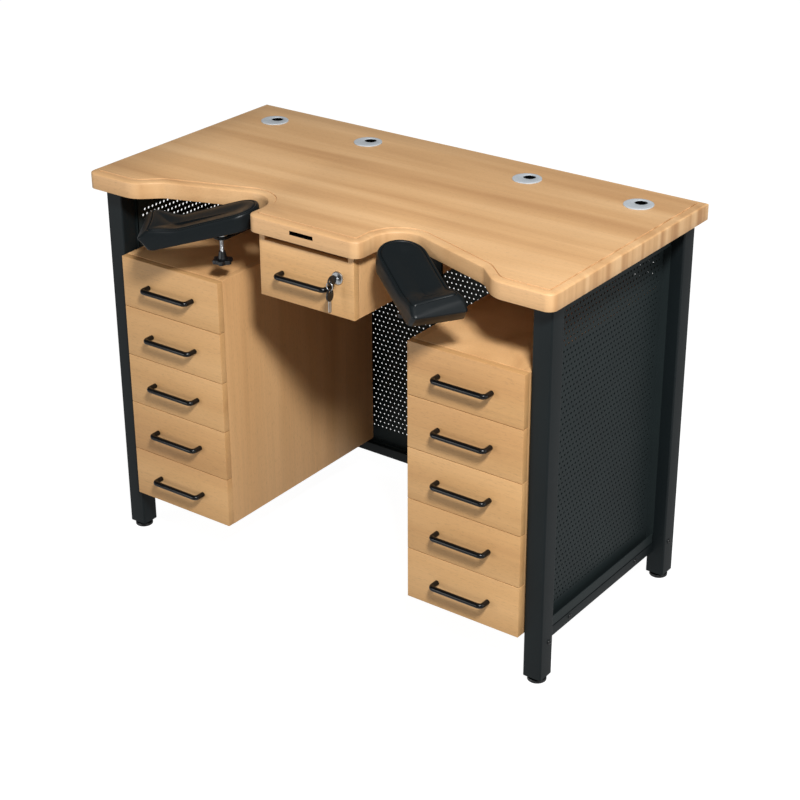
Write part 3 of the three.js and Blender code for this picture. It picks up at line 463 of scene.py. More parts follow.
def plated(name, colour, dull, rough):
    """Plated steel: a soft cloud of wear and fine turning marks in the gloss."""
    finish = Finish(name, colour, rough, 1.0)
    wear = finish.noise(45.0, 4.0)
    finish.join(finish.ramp(wear, [(0.3, dull), (0.6, colour)]), finish.shader, "Base Color")
    marks = finish.span(finish.noise(1.0, 2.0, (40, 40, 1500)), rough - 0.08, rough + 0.12)
    finish.join(marks, finish.shader, "Roughness")
    return finish.material


BEECH_LIGHT, BEECH_MID, BEECH_DARK = srgb(229, 187, 138), srgb(214, 169, 119), srgb(187, 139, 92)
BEECH_TOP = beech("beech_worktop", "x", BEECH_LIGHT, BEECH_MID, BEECH_DARK, 0.48, True)
BEECH_FRONT = beech("beech_fronts", "x", srgb(221, 175, 120), srgb(210, 163, 108), srgb(194, 145, 93), 0.5)
# Carcass beech: its own tone, lifted about 8 % as painted light, so the shaded inner sides of the pedestals
# read brighter.
BEECH_SIDE = beech("beech_sides", "z", srgb(226, 180, 127), srgb(216, 169, 116), srgb(195, 147, 97), 0.52)
BEECH_BOX = beech("beech_boxes", "y", srgb(226, 190, 146), srgb(217, 178, 132), srgb(204, 160, 112), 0.6)
FRAME_COAT = powder_coat("charcoal_frame", srgb(18, 25, 27), srgb(15, 21, 23), 0.5)
PANEL_COAT = powder_coat("charcoal_panels", srgb(33, 41, 42), srgb(29, 36, 37), 0.55)
HANDLE_COAT = powder_coat("black_handles", srgb(3, 5, 8), srgb(2, 3, 5), 0.26, 0.3)
PAD_SKIN = moulded("black_armrests", srgb(21, 26, 28), srgb(16, 20, 22), 0.34, 1100.0, 0.08, 0.16)
BLACK_PLASTIC = moulded("black_fittings", srgb(13, 15, 17), srgb(9, 10, 12), 0.38, 700.0, 0.08)
# Painted shade: a near-black, matt material for sheets put where only shade is, in the pin slot, the cable
# holes and behind the side panels.
PAINTED_SHADE_BLACK = moulded("painted_shade_black", srgb(8, 9, 9), srgb(4, 5, 5), 0.9, 1500.0, 0.2, 0.0)
GROMMET_GREY = moulded("grey_grommets", srgb(190, 196, 201), srgb(178, 184, 189), 0.4, 500.0, 0.04)
ZINC = plated("zinc_fittings", srgb(205, 207, 208), srgb(170, 172, 174), 0.3)


# Worktop: one outline stepped in along the moulded rim, flat faces with the cable holes left open.

def worktop_outline():
    """Plan of the worktop, counter-clockwise from the slot: tongue, scallop and wing, then mirrored."""
    right = [[TONGUE_HALF, FRONT_Y, 23], [TONGUE_HALF, FRONT_Y + SCALLOP_DEEP, 62],
             [WING_X, FRONT_Y + WING_DEEP, 40], [WING_X + 50, FRONT_Y, 60],
             [HALF_WIDTH, FRONT_Y, 20], [HALF_WIDTH, BACK_Y, 0]]
    left = [[-x, y, radius] for x, y, radius in reversed(right)]
    return rounded([[SLOT_HALF, FRONT_Y, 0]] + right + left + [[-SLOT_HALF, FRONT_Y, 0]], 5.0)


def rim_profile():
    """Steps of (inset, height): underside, square edge, quarter-ellipse moulding, narrow quirk, step."""
    cos, sin = arc(0, 90, 12)
    curve = np.stack([RIM_RUN * (1 - cos), TOP_Z - RIM_STEP - RIM_FALL * (1 - sin)], -1)
    foot = [[1.0, UNDER_Z], [0.3, UNDER_Z + 0.3], [0, UNDER_Z + 1], [0, SLOT_LOW], [0, SLOT_HIGH]]
    floor = TOP_Z - RIM_STEP - RIM_QUIRK
    quirk = [[RIM_RUN + 0.2, floor], [RIM_RUN + RIM_QUIRK - 0.2, floor]]
    top = RIM_RUN + RIM_QUIRK
    step = [[top, TOP_Z - RIM_STEP / 2], [top + 0.2, TOP_Z - 0.15], [top + 0.8, TOP_Z]]
    return np.vstack([foot, curve, quirk, step])


def hole_circles(radius, segments):
    """The cable holes' rims as plan circles."""
    cos, sin = arc(0, 360, segments + 1)
    return [np.stack([x + radius * cos[:-1], GROMMET_Y + radius * sin[:-1]], -1) for x in GROMMET_X]


def flat_face(outline, holes, z):
    """A flat face inside an outline and outside its holes, cut into triangles."""
    loops = [outline] + holes
    flat = np.vstack(loops)
    starts = np.cumsum([0] + [len(loop) for loop in loops[:-1]])
    rings = [list(range(start, start + len(loop))) for start, loop in zip(starts, loops)]
    edges = [(ring[i - 1], ring[i]) for ring in rings for i in range(len(ring))]
    result = delaunay_2d_cdt([Vector(p) for p in flat.tolist()], edges, rings[:1], 1, 1e-5)
    points, triangles = np.array([p[:] for p in result[0]]), np.array(result[2])
    middle = points[triangles].mean(1)
    centres = np.array([loop.mean(0) for loop in holes])
    radii = np.array([np.hypot(*(loop[0] - loop.mean(0))) for loop in holes])
    away = np.hypot(*(middle[:, None] - centres[None]).transpose(2, 0, 1)) > radii
    return level(points, z), triangles[away.all(1)].tolist()


def build_worktop():
    """The rim's rings, the slot's pocket, both flat faces and the bores; then black sheets of painted shade
    inside the slot.
    """
    outline, profile = worktop_outline(), rim_profile()
    rings = np.array([level(inset(outline, step), z) for step, z in profile])
    points, faces = weave(rings, closed_v=True)
    count = len(outline)
    faces.remove([3 * count + count - 1, 4 * count + count - 1, 4 * count, 3 * count])
    mouth = [[-SLOT_HALF, SLOT_LOW], [SLOT_HALF, SLOT_LOW], [SLOT_HALF, SLOT_HIGH], [-SLOT_HALF, SLOT_HIGH]]
    pocket = np.array([[[x, y, z] for x, z in mouth] for y in (FRONT_Y, FRONT_Y + SLOT_LENGTH)])
    walls, wall_faces = weave(pocket, closed_v=True)
    holes = hole_circles(HOLE_RADIUS, 48)
    bores = [weave(np.array([level(loop, UNDER_Z), level(loop, TOP_Z)]), closed_v=True) for loop in holes]
    parts = [(points, faces), (walls, wall_faces + [[4, 5, 6, 7]]),
             flat_face(rings[0, :, :2], holes, UNDER_Z), flat_face(rings[-1, :, :2], holes, TOP_Z)] + bores
    top = make("worktop", parts, BEECH_TOP, "bench", 25)
    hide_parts("bench_top")
    # Painted shade: thin black sheets line the slot, so its inside reads as shadow.
    half = SLOT_HALF - SLOT_SHADE_GAP
    near, far = FRONT_Y + 1.5, FRONT_Y + SLOT_LENGTH - 0.5
    low, high = SLOT_LOW + SLOT_SHADE_GAP, SLOT_HIGH - SLOT_SHADE_GAP
    sheets = [block([-half, near, low], [half, far, low + SLOT_SHADE_SHEET]),
              block([-half, near, high - SLOT_SHADE_SHEET], [half, far, high]),
              block([-half, far - 0.5, low], [half, far, high]),
              block([-half, near, low], [SLOT_SHADE_SHEET - half, far, high]),
              block([half - SLOT_SHADE_SHEET, near, low], [half, far, high])]
    slot_shade = make("pin_slot_painted_shade", sheets, PAINTED_SHADE_BLACK, "bench", 0)


def build_grommets():
    """Rings from the flange's foot over its rim, in to the off-centre opening, down and back out; under
    them, a black disc of painted shade in each hole.
    """
    cos, sin = arc(0, 360, 49)
    circle = np.stack([cos[:-1], sin[:-1]], -1)
    for x, name in zip(GROMMET_X, GROMMET_NAMES):
        rings = [level(circle * radius + [x, GROMMET_Y + off], z) for radius, off, z in GROMMET_STEPS]
        ring = make(f"cable_grommet_{name}", [weave(np.array(rings), True, True)], GROMMET_GREY, "bench")
        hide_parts(f"grommet_{name}")
        # Painted shade: a black disc low in the hole, so the opening reads dark.
        shade_circle = level(circle * SHADE_DISC_RADIUS + [x, GROMMET_Y], SHADE_DISC_LOW)
        disc = shell(np.array([shade_circle, shade_circle + [0, 0, SHADE_DISC_THICK]]))
        floor = make(f"cable_shade_{name}", [disc], PAINTED_SHADE_BLACK, "bench")


# Frame

def build_frame():
    """Legs with their feet, then the side rails and the back rails."""
    for side, sign in SIDES:
        x = sorted((sign * LEG_OUTER_X, sign * (LEG_OUTER_X - LEG)))
        for end, front in (("front", LEG_FRONT_Y), ("back", LEG_BACK_Y - LEG)):
            tall = tube([x[0], front, LEG_END], [x[1], front + LEG, UNDER_Z - SEAT], 2, LEG_CORNER)
            leg = make(f"square_leg_{end}_{side}", [tall], FRAME_COAT, "bench")
            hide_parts(f"leg_{end}_{side}")
            middle = (sum(x) / 2, front + LEG / 2, 0)
            foot = make(f"levelling_foot_{end}_{side}", [turned(FOOT_PROFILE, middle)], BLACK_PLASTIC,
                        f"body_foot_{end}_{side}")
            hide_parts(f"foot_{end}_{side}")
        x = sorted((sign * RAIL_OUTER_X, sign * (RAIL_OUTER_X - RAIL)))
        ends = (LEG_FRONT_Y + LEG + SEAT, LEG_BACK_Y - LEG - SEAT)
        for where, z in RAIL_LEVELS:
            long = tube([x[0], ends[0], z], [x[1], ends[1], z + RAIL], 1, RAIL_CORNER)
            rail = make(f"{where}_side_rail_{side}", [long], FRAME_COAT, "bench")
            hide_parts(f"{where}_rail_{side}")
    reach = LEG_OUTER_X - LEG - SEAT
    for where, z in RAIL_LEVELS:
        long = tube([-reach, LEG_BACK_Y - RAIL, z], [reach, LEG_BACK_Y, z + RAIL], 0, RAIL_CORNER)
        rail = make(f"{where}_back_rail", [long], FRAME_COAT, "bench")
        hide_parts(f"{where}_rail_back")


def build_panels():
    """Perforated plates with their folds and hems, and a black sheet of painted shade against each
    pedestal, which darkens the holes.
    """
    low, high = PANEL_LOW + SEAT, PANEL_HIGH - SEAT
    near, far = LEG_FRONT_Y + LEG + SEAT, LEG_BACK_Y - LEG - SEAT
    for side, sign in SIDES:
        plate = perforated(far - near, high - low, SIDE_COLUMNS, PANEL_ROWS, SIDE_HOLE)
        back, face = PANEL_INNER_X, RAIL_OUTER_X
        folds = [block([back, near, low], [face, far, low + SHEET]),
                 block([back, near, high - SHEET], [face, far, high]),
                 block([back, near, low], [face, near + SHEET, high]),
                 block([back, far - SHEET, low], [face, far, high]),
                 block([face - SHEET, near, low], [face, far, low + HEM]),
                 block([face - SHEET, near, high - HEM], [face, far, high])]
        turn = np.array([[0, 1, 0], [0, 0, 1], [1, 0, 0]], float)
        middle = np.array([back, (near + far) / 2, (low + high) / 2])
        parts = [(points @ turn + middle, faces) for points, faces in plate] + folds
        parts = [(points * [sign, 1, 1], faces) for points, faces in parts]
        # Painted shade: a black sheet between pedestal and plate, so the holes read dark instead of showing
        # beech.
        shade_span = sorted(sign * (PEDESTAL_OUTER_X + gap) for gap in (SHADE_SHEET_NEAR, SHADE_SHEET_FAR))
        shade_sheet = block([shade_span[0], near + SHADE_SHEET_INSET, PEDESTAL_LOW],
                      [shade_span[1], far - SHADE_SHEET_INSET, PEDESTAL_HIGH])
        panel_shade = make(f"panel_painted_shade_{side}", [shade_sheet], PAINTED_SHADE_BLACK, "bench", 0)
        panel = make(f"perforated_side_{side}", parts, PANEL_COAT, "bench", 0)
        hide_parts(f"panel_{side}")
    reach = LEG_OUTER_X - LEG - SEAT
    plate = perforated(2 * reach, high - low, BACK_COLUMNS, PANEL_ROWS, BACK_HOLE)
    turn = np.array([[-1, 0, 0], [0, 0, 1], [0, 1, 0]], float)
    middle = np.array([0, LEG_BACK_Y - SHEET, (low + high) / 2])
    front = LEG_BACK_Y - BACK_RETURN
    folds = [block([-reach, front, low], [reach, LEG_BACK_Y, low + SHEET]),
             block([-reach, front, high - SHEET], [reach, LEG_BACK_Y, high]),
             block([-reach, front, low], [SHEET - reach, LEG_BACK_Y, high]),
             block([reach - SHEET, front, low], [reach, LEG_BACK_Y, high])]
    parts = [(points @ turn + middle, faces) for points, faces in plate] + folds
    panel = make("perforated_back", parts, PANEL_COAT, "bench", 0)
    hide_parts("panel_back")


# Drawers

def handle_parts(x, face, z):
    """A bow handle: two feet square to the front, quarter bends and a straight bar."""
    cos, sin = arc(0, 90, 8)
    out, bend = face - HANDLE_REACH, HANDLE_BEND
    turn = np.stack([x + HANDLE_HALF - bend * (1 - cos), out + bend * (1 - sin), np.full(8, z)], -1)
    half = np.vstack([[[x + HANDLE_HALF, face, z], [x + HANDLE_HALF, face - 4, z]], turn])
    path = np.vstack([half, (half * [-1, 1, 1] + [2 * x, 0, 0])[::-1]])
    return [bar(path, HANDLE_RADIUS, 24)]


def drawer_box(middle, width, back_of_front, low, height, length):
    """An open box behind a front: two sides, a back and a bottom."""
    x, y = width / 2, back_of_front
    return [board([middle - x, y, low], [middle - x + BOX_WALL, y + length, low + height], 1, 0.6),
            board([middle + x - BOX_WALL, y, low], [middle + x, y + length, low + height], 1, 0.6),
            board([middle - x + BOX_WALL, y + length - BOX_WALL, low],
                  [middle + x - BOX_WALL, y + length, low + height], 0, 0.6),
            block([middle - x + BOX_WALL, y, low],
                  [middle + x - BOX_WALL, y + length - BOX_WALL, low + BOX_FLOOR])]


def build_pedestals():
    """Each pedestal's carcass with its runners, and its drawers counted from the top."""
    back = FACE_Y + FRONT_THICK
    for side, sign in SIDES:
        x = sorted((sign * PEDESTAL_INNER_X, sign * PEDESTAL_OUTER_X))
        low, high = PEDESTAL_LOW, PEDESTAL_HIGH
        near, far = back + SEAT, back + SEAT + CARCASS_DEPTH
        inner = (x[0] + CARCASS_WALL, x[1] - CARCASS_WALL)
        sides = [board([x[0], near, low], [inner[0], far, high], 2, 0.8),
                 board([inner[1], near, low], [x[1], far, high], 2, 0.8)]
        level_boards = [board([inner[0], near, low], [inner[1], far, low + CARCASS_WALL], 0, 0.6),
                        board([inner[0], near, high - CARCASS_WALL], [inner[1], far, high], 0, 0.6),
                        block([inner[0], far - CARCASS_BACK, low], [inner[1], far, high])]
        ledges = [low + bay * PITCH + RUNNER_LOW for bay in range(BAYS)]
        runners = [block([a, near + RUNNER_SET, z], [a + RUNNER, far - CARCASS_BACK, z + RUNNER])
                   for z in ledges for a in (inner[0], inner[1] - RUNNER)]
        carcass = make(f"pedestal_carcass_{side}", sides + level_boards + runners, BEECH_SIDE, "bench")
        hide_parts(f"pedestal_{side}")
        middle = sum(x) / 2
        for number in range(1, BAYS + 1):
            floor = low + (BAYS - number) * PITCH
            body = f"body_drawer_{side}_{number}"
            lower, upper = floor + REVEAL / 2, floor + PITCH - REVEAL / 2
            front = make(f"drawer_front_{side}_{number}",
                         [board([x[0], FACE_Y, lower], [x[1], back, upper], 1, 0.5)], BEECH_FRONT, body)
            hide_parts(f"drawer_{side}_{number}")
            box = drawer_box(middle, BOX_WIDTH, back, floor + BOX_LIFT, BOX_HEIGHT, BOX_LENGTH)
            inside = make(f"drawer_box_{side}_{number}", box, BEECH_BOX, body)
            bow = handle_parts(middle, FACE_Y, floor + PITCH / 2)
            pull = make(f"bow_handle_{side}_{number}", bow, HANDLE_COAT, body)
            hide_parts(f"handle_{side}_{number}")


def build_centre_drawer():
    """The housing under the tongue and the drawer, whose front has a notch between two ears."""
    x, back, top = CENTRE_HALF, CENTRE_FACE_Y + FRONT_THICK, UNDER_Z - SEAT
    near, far = back + SEAT, back + SEAT + CENTRE_DEPTH
    inner, floor = x - CENTRE_WALL, CENTRE_LOW + CENTRE_FLOOR
    case = [board([-x, near, CENTRE_LOW], [-inner, far, top], 1, 0.6),
            board([inner, near, CENTRE_LOW], [x, far, top], 1, 0.6),
            block([-inner, near, CENTRE_LOW], [inner, far, floor]),
            block([-inner, far - CENTRE_WALL, floor], [inner, far, top])]
    housing = make("centre_case", case, BEECH_SIDE, "bench")
    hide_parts("centre_housing")
    ear, notch = CENTRE_LOW + EAR_HIGH, CENTRE_LOW + NOTCH_HIGH
    plan = np.array([[-x, CENTRE_LOW], [x, CENTRE_LOW], [x, ear], [NOTCH_HALF, ear], [NOTCH_HALF, notch],
                     [-NOTCH_HALF, notch], [-NOTCH_HALF, ear], [-x, ear]])
    steps = [(1.0, 0.0), (0.3, 0.3), (0.0, 1.0),
             (0.0, FRONT_THICK - 1), (0.3, FRONT_THICK - 0.3), (1.0, FRONT_THICK)]
    rings = []
    for step, depth in steps:
        ring = inset(plan, step)
        rings.append(np.stack([ring[:, 0], np.full(len(ring), CENTRE_FACE_Y + depth), ring[:, 1]], -1))
    front = make("centre_drawer_front", [shell(np.array(rings))], BEECH_FRONT, "body_centre_drawer")
    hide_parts("centre_drawer")
    box = drawer_box(0, CENTRE_BOX_WIDTH, back, floor + SEAT, CENTRE_BOX_HEIGHT, CENTRE_BOX_LENGTH)
    inside = make("centre_drawer_box", box, BEECH_BOX, "body_centre_drawer")
    bow = handle_parts(0, CENTRE_FACE_Y, CENTRE_LOW + CENTRE_HANDLE)
    pull = make("centre_bow_handle", bow, HANDLE_COAT, "body_centre_drawer")
    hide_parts("centre_handle")


def key_bow(hole):
    """A key's oval bow in the (y, z) plane: four ovals and four hole rims make one closed ring."""
    cos, sin = arc(0, 360, 41)
    circle = np.stack([cos[:-1], sin[:-1]], -1)
    outer = [(x, circle * [BOW_LONG - ease, BOW_WIDE - ease])
             for x, ease in ((-2.0, 0.8), (-1.4, 0.0), (1.4, 0.0), (2.0, 0.8))]
    inner = [(x, circle * (BOW_HOLE + ease) + [hole, 0])
             for x, ease in ((2.0, 0.3), (1.7, 0.0), (-1.7, 0.0), (-2.0, 0.3))]
    grid = np.array([np.column_stack([np.full(len(circle), x), ring]) for x, ring in outer + inner])
    return weave(grid, True, True)


def key_blade(low, high):
    """The blade from its shoulder to its tip, with a groove along each face and a bevelled tip."""
    z = np.array([-4, -4, -1.2, -0.7, 0.7, 1.2, 4, 4, 1.2, 0.7, -0.7, -1.2])
    x = np.array([-1.1, 1.1, 1.1, 0.6, 0.6, 1.1, 1.1, -1.1, -1.1, -0.6, -0.6, -1.1])
    taper = ((low, 1.0), (high - 2.5, 1.0), (high, 0.45))
    return shell(np.array([np.stack([x, np.full(12, y), z * wide], -1) for y, wide in taper]))


def build_lock():
    """The lock's rose, the key in it, and the spare key that hangs from the first on a ring."""
    place = np.array([LOCK_X, CENTRE_FACE_Y, LOCK_Z])
    rose = turned(ROSE_PROFILE, place, "y", 48)
    lock = make("lock_rose", [rose], ZINC, "body_centre_drawer", 30)
    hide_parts("lock_cylinder")
    bow_y, hole = KEY_DEPTH - KEY_LENGTH - BOW_LONG, BOW_EDGE - BOW_LONG
    bow, faces = key_bow(hole)
    main = make("key_bow", [(bow + place + [0, bow_y, 0], faces)], BLACK_PLASTIC, "key", 30)
    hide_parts("lock_key")
    blade, blade_faces = key_blade(BLADE_LOW, BLADE_HIGH)
    steel = make("key_blade", [(blade + place + [0, bow_y, 0], blade_faces)], ZINC, "key", 30)
    ring_top = RING_WIRE - BOW_HOLE + SEAT
    drop = ring_top - 2 * RING_RADIUS - BOW_HOLE + RING_WIRE - SEAT
    hang = place + [0, bow_y + hole, drop + hole]
    down = np.array([[1, 0, 0], [0, 0, -1], [0, 1, 0]], float)
    spare = make("spare_bow", [(bow @ down + hang, faces)], BLACK_PLASTIC, "spare", 30)
    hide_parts("spare_key")
    spare_blade = make("spare_blade", [(blade @ down + hang, blade_faces)], ZINC, "spare", 30)
    cos, sin = arc(0, 360, 49)
    wire_cos, wire_sin = arc(0, 360, 13)
    reach = RING_RADIUS + RING_WIRE * wire_cos[None, :-1]
    rise = np.repeat(RING_WIRE * wire_sin[None, :-1], 48, 0)
    torus = np.stack([reach * cos[:-1, None], rise, reach * sin[:-1, None]], -1)
    torus += place + [0, bow_y + hole, ring_top - RING_RADIUS]
    ring = make("key_ring", [weave(torus, True, True)], ZINC, "spare", 60)


# Armrests

PAD_X, PAD_Y, PAD_TURN = 220.0, FRONT_Y + 50, math.radians(-34)
PAD_RADIUS, PAD_LENGTH, PAD_CORNER = 52.0, 186.0, 9.0
PAD_HIGH, PAD_SLOPE = TOP_Z - 23, 0.26
PAD_LOW, PAD_LOW_SLOPE = PAD_HIGH - 38, 0.232
LIP_START, LIP_RISE, END_RUN = 110.0, 27.0, 45.0
# Rings of the pad: inset; lift over the underside, share of the side's height or fall below the rim;
# reach and sway of the outer end
PAD_FOOT = ((40, 0, -15, 0), (20, 0, -15, 3), (4, 0, -15, 8), (1, 0.5, -14, 9), (-1.4, 1.6, -12, 9),
            (-2.6, 3.2, -9.5, 9), (-3, 5, -6.5, 9))
PAD_SIDE = ((-2.4, 0.35, 4.5, 9), (-1.8, 0.52, 13, 9), (-1.6, 0.56, 14.6, 9), (-1.5, 0.585, 14.4, 8.7))
PAD_WELT = ((-0.7, 9, 9.4, 5.6), (0.2, 5.4, 4.8, 3.0), (1.2, 3.2, 1.6, 0.9), (2.2, 2.0, 0.4, 0.2),
            (3.4, 1.3, 0, 0), (4.8, 1.0, 0, 0), (6.2, 1.4, 0, 0), (7.2, 2.7, 0, 0), (7.9, 3.7, 0, 0),
            (8.7, 2.8, 0, 0), (10.0, 0.9, 0, 0), (11.8, 0.2, 0, 0))
DISH_STEP, DISH_START, DISH_DEPTH = 14.0, 0.3, 4.8
DISH_SHARES = (0.1, 0.22, 0.36, 0.52, 0.68, 0.84, 0.98)
POST_ALONG = 30.0
POST = np.array([PAD_X + POST_ALONG * math.cos(PAD_TURN), PAD_Y + POST_ALONG * math.sin(PAD_TURN)])
BOSS_PROFILE = ((15, 827), (16, 828), (16, 846))
COLLAR_PROFILE = ((14, 818), (15, 819), (15, 825.7), (14, 826.7), (5.5, 826.7))
BRACKET_HALF, BRACKET_LOW, BRACKET_THICK, BRACKET_TAB, WEB_SET = 17.0, 811.7, 6.0, 68.0, 20.0
SCREW_RADIUS, SCREW_LOW, SCREW_HIGH, SCREW_LEAD, THREAD_DEPTH = 5.0, 756.7, 823.4, 3.0, 0.7
KNOB_RADIUS, KNOB_SWING, KNOB_LOBES = 20.3, 2.4, 6
# The knob's grip as (ease, height) and its neck as (radius, height)
KNOB_GRIP = ((-2.2, 754.7), (-0.7, 755.2), (0, 756.6), (0, 761.9), (-0.7, 763.5), (-2.4, 764.2))
KNOB_NECK = ((11.5, 764.6), (9.6, 766), (8.5, 769), (7.6, 780), (7.0, 781.7), (5.3, 781.7))


def smoothstep(value, low, high):
    """The usual cubic step from 0 at low to 1 at high."""
    share = np.clip((value - low) / (high - low), 0, 1)
    return share * share * (3 - 2 * share)


def pad_rim(along, across):
    """The rim: a sloping plane and a lip that rises to the outer end, half as much at the near corner."""
    share = 0.75 + 0.25 * across / PAD_RADIUS
    return PAD_HIGH - PAD_SLOPE * along + LIP_RISE * share * smoothstep(along, LIP_START, PAD_LENGTH)


def pad_rings():
    """The dished pad: rings stepped in from one plan, heights a function of the place along the pad.

    They run from the underside round the swollen side, over the welt and its groove, and are then drawn
    in to the dish's spine.
    """
    plan = rounded([[-PAD_RADIUS, -PAD_RADIUS, PAD_RADIUS], [PAD_LENGTH, -PAD_RADIUS, PAD_CORNER],
                    [PAD_LENGTH, PAD_RADIUS, PAD_CORNER], [-PAD_RADIUS, PAD_RADIUS, PAD_RADIUS]], 4.0)
    ahead = np.roll(plan, -1, 0) - plan
    counts = np.maximum(1, np.round(np.hypot(*ahead.T) / 5)).astype(int)
    plan = np.vstack([point + np.linspace(0, 1, count, endpoint=False)[:, None] * run
                      for point, run, count in zip(plan, ahead, counts)])
    spine = np.stack([np.clip(plan[:, 0], 0, PAD_LENGTH - PAD_RADIUS), np.zeros(len(plan))], -1)
    inward = spine - plan
    inward /= np.linalg.norm(inward, axis=1, keepdims=True)
    end = smoothstep(plan[:, 0], PAD_LENGTH - END_RUN, PAD_LENGTH)
    outer = smoothstep(plan[:, 1], -PAD_RADIUS, PAD_RADIUS)

    def moved(step, reach, sway):
        return plan + step * inward + np.stack([reach * end, sway * end * outer], -1)

    def underside(place):
        return PAD_LOW - PAD_LOW_SLOPE * place[:, 0]

    rings = []
    for step, lift, reach, sway in PAD_FOOT:
        place = moved(step, reach, sway)
        rings.append(np.column_stack([place, underside(place) + lift]))
    for step, share, reach, sway in PAD_SIDE:
        place = moved(step, reach, sway)
        upper = pad_rim(place[:, 0], PAD_RADIUS)
        rings.append(np.column_stack([place, (1 - share) * underside(place) + share * upper]))
    for step, fall, reach, sway in PAD_WELT:
        place = moved(step, reach, sway)
        rings.append(np.column_stack([place, pad_rim(*place.T) - fall]))
    for share in (0.0,) + DISH_SHARES:
        place = (1 - share) * (plan + DISH_STEP * inward) + share * spine
        fall = DISH_START + DISH_DEPTH * smoothstep(share, 0, 1)
        rings.append(np.column_stack([place, pad_rim(*place.T) - fall]))
    return np.array(rings)


def armrest_frame(points, sign):
    """Pad coordinates turned to their heading and mirrored to one side."""
    cos, sin = math.cos(PAD_TURN), math.sin(PAD_TURN)
    x = PAD_X + points[..., 0] * cos - points[..., 1] * sin
    y = PAD_Y + points[..., 0] * sin + points[..., 1] * cos
    return np.stack([sign * x, y, points[..., 2]], -1)


def thread(radius, low, high, lead, centre):
    """A threaded rod: the radius dips with the phase of (height / lead - turn), rings closely spaced."""
    rows, columns = int((high - low) / lead * 6) + 1, 20
    height = np.linspace(low, high, rows)[:, None]
    angle = (np.arange(columns) * 2 * math.pi / columns)[None]
    wave = np.abs((height / lead - angle / (2 * math.pi)) % 1 * 2 - 1)
    reach = radius - THREAD_DEPTH * wave
    grid = np.stack([reach * np.cos(angle), reach * np.sin(angle), np.repeat(height, columns, 1)], -1)
    return shell(grid + [centre[0], centre[1], 0])


def star_knob(centre):
    """A six-lobed grip: the radius swings with six waves round the axis, edges eased by rings."""
    angle = np.linspace(0, 2 * math.pi, 96, endpoint=False)
    lobe = KNOB_RADIUS + KNOB_SWING * np.cos(KNOB_LOBES * angle)
    reach = [(lobe + ease, z) for ease, z in KNOB_GRIP]
    reach += [(np.full(96, radius), z) for radius, z in KNOB_NECK]
    rings = [np.stack([radius * np.cos(angle), radius * np.sin(angle), np.full(96, z)], -1)
             for radius, z in reach]
    return shell(np.array(rings) + [centre[0], centre[1], 0])


def build_armrests():
    """Each armrest: pad and boss, swivel collar, bracket under the worktop, threaded rod and knob."""
    rings = pad_rings()
    slope = (WING_DEEP - SCALLOP_DEEP) / (WING_X - TONGUE_HALF)
    web = FRONT_Y + SCALLOP_DEEP + slope * (POST[0] - TONGUE_HALF) + WEB_SET
    under = UNDER_Z - SEAT
    for side, sign in SIDES:
        post = POST * [sign, 1]
        cushion = shell(armrest_frame(rings, sign))
        pad = make(f"armrest_cushion_{side}", [cushion], PAD_SKIN, f"armrest_rest_{side}", 60)
        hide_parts(f"armrest_pad_{side}")
        stub = turned(BOSS_PROFILE, (*post, 0))
        boss = make(f"armrest_boss_{side}", [stub], BLACK_PLASTIC, f"armrest_rest_{side}")
        swivel = turned(COLLAR_PROFILE, (*post, 0))
        collar = make(f"armrest_swivel_{side}", [swivel], ZINC, f"armrest_lift_{side}")
        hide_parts(f"armrest_collar_{side}")
        cos, sin = arc(180, 360, 17)
        nose = np.stack([post[0] + BRACKET_HALF * cos, post[1] + BRACKET_HALF * sin], -1)
        left, right = post[0] - BRACKET_HALF, post[0] + BRACKET_HALF
        plate = np.vstack([nose, [[right, web + BRACKET_THICK], [left, web + BRACKET_THICK]]])
        steps = ((0.6, 0.0), (0, 0.6), (0, BRACKET_THICK - 0.6), (0.6, BRACKET_THICK))
        bracket = make(f"armrest_arm_{side}", [
            shell(np.array([level(inset(plate, step), BRACKET_LOW + rise) for step, rise in steps])),
            board([left, web, BRACKET_LOW], [right, web + BRACKET_THICK, under], 2, 0.6),
            board([left, web, under - BRACKET_THICK], [right, web + BRACKET_TAB, under], 1, 0.6),
        ], FRAME_COAT, "bench")
        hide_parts(f"armrest_bracket_{side}")
        rod = thread(SCREW_RADIUS, SCREW_LOW, SCREW_HIGH, SCREW_LEAD, post)
        screw = make(f"armrest_thread_{side}", [rod], ZINC, f"armrest_jack_{side}", 0)
        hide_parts(f"armrest_screw_{side}")
        knob = make(f"armrest_grip_{side}", [star_knob(post)], BLACK_PLASTIC, f"armrest_jack_{side}", 30)
        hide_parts(f"armrest_knob_{side}")


def build_fasteners():
    """Domed screw heads on the side rails and legs."""
    for side, sign in SIDES:
        dome = [(radius, sign * height) for radius, height in BOLT_PROFILE]
        places = [(RAIL_OUTER_X, y, RAIL_BOLT_Z) for y in RAIL_BOLTS_Y]
        places += [(LEG_OUTER_X, y, LEG_BOLT_Z) for y in LEG_BOLTS_Y]
        heads = [turned(dome, (sign * x, y, z), "x", 20) for x, y, z in places]
        bolts = make(f"frame_bolts_{side}", heads, BLACK_PLASTIC, "bench", 30)


build_worktop()
build_grommets()
build_frame()
build_panels()
build_pedestals()
build_centre_drawer()
build_lock()
build_armrests()
build_fasteners()


# Floor, light and camera

FLOOR_RADIUS, FLOOR_DROP, FLOOR_GREY = 30.0, 0.0005, 0.22
FLOOR_CLEAR, FLOOR_GLOSS = 0.97, 0.45
EYE, LENS, SENSOR = (2262.5, -3045.4, 2247.2), 84.2, 36.0
EYE_AZIMUTH, EYE_RISE, EYE_ROLL = math.radians(36.33), math.radians(26.09), math.radians(-0.25)


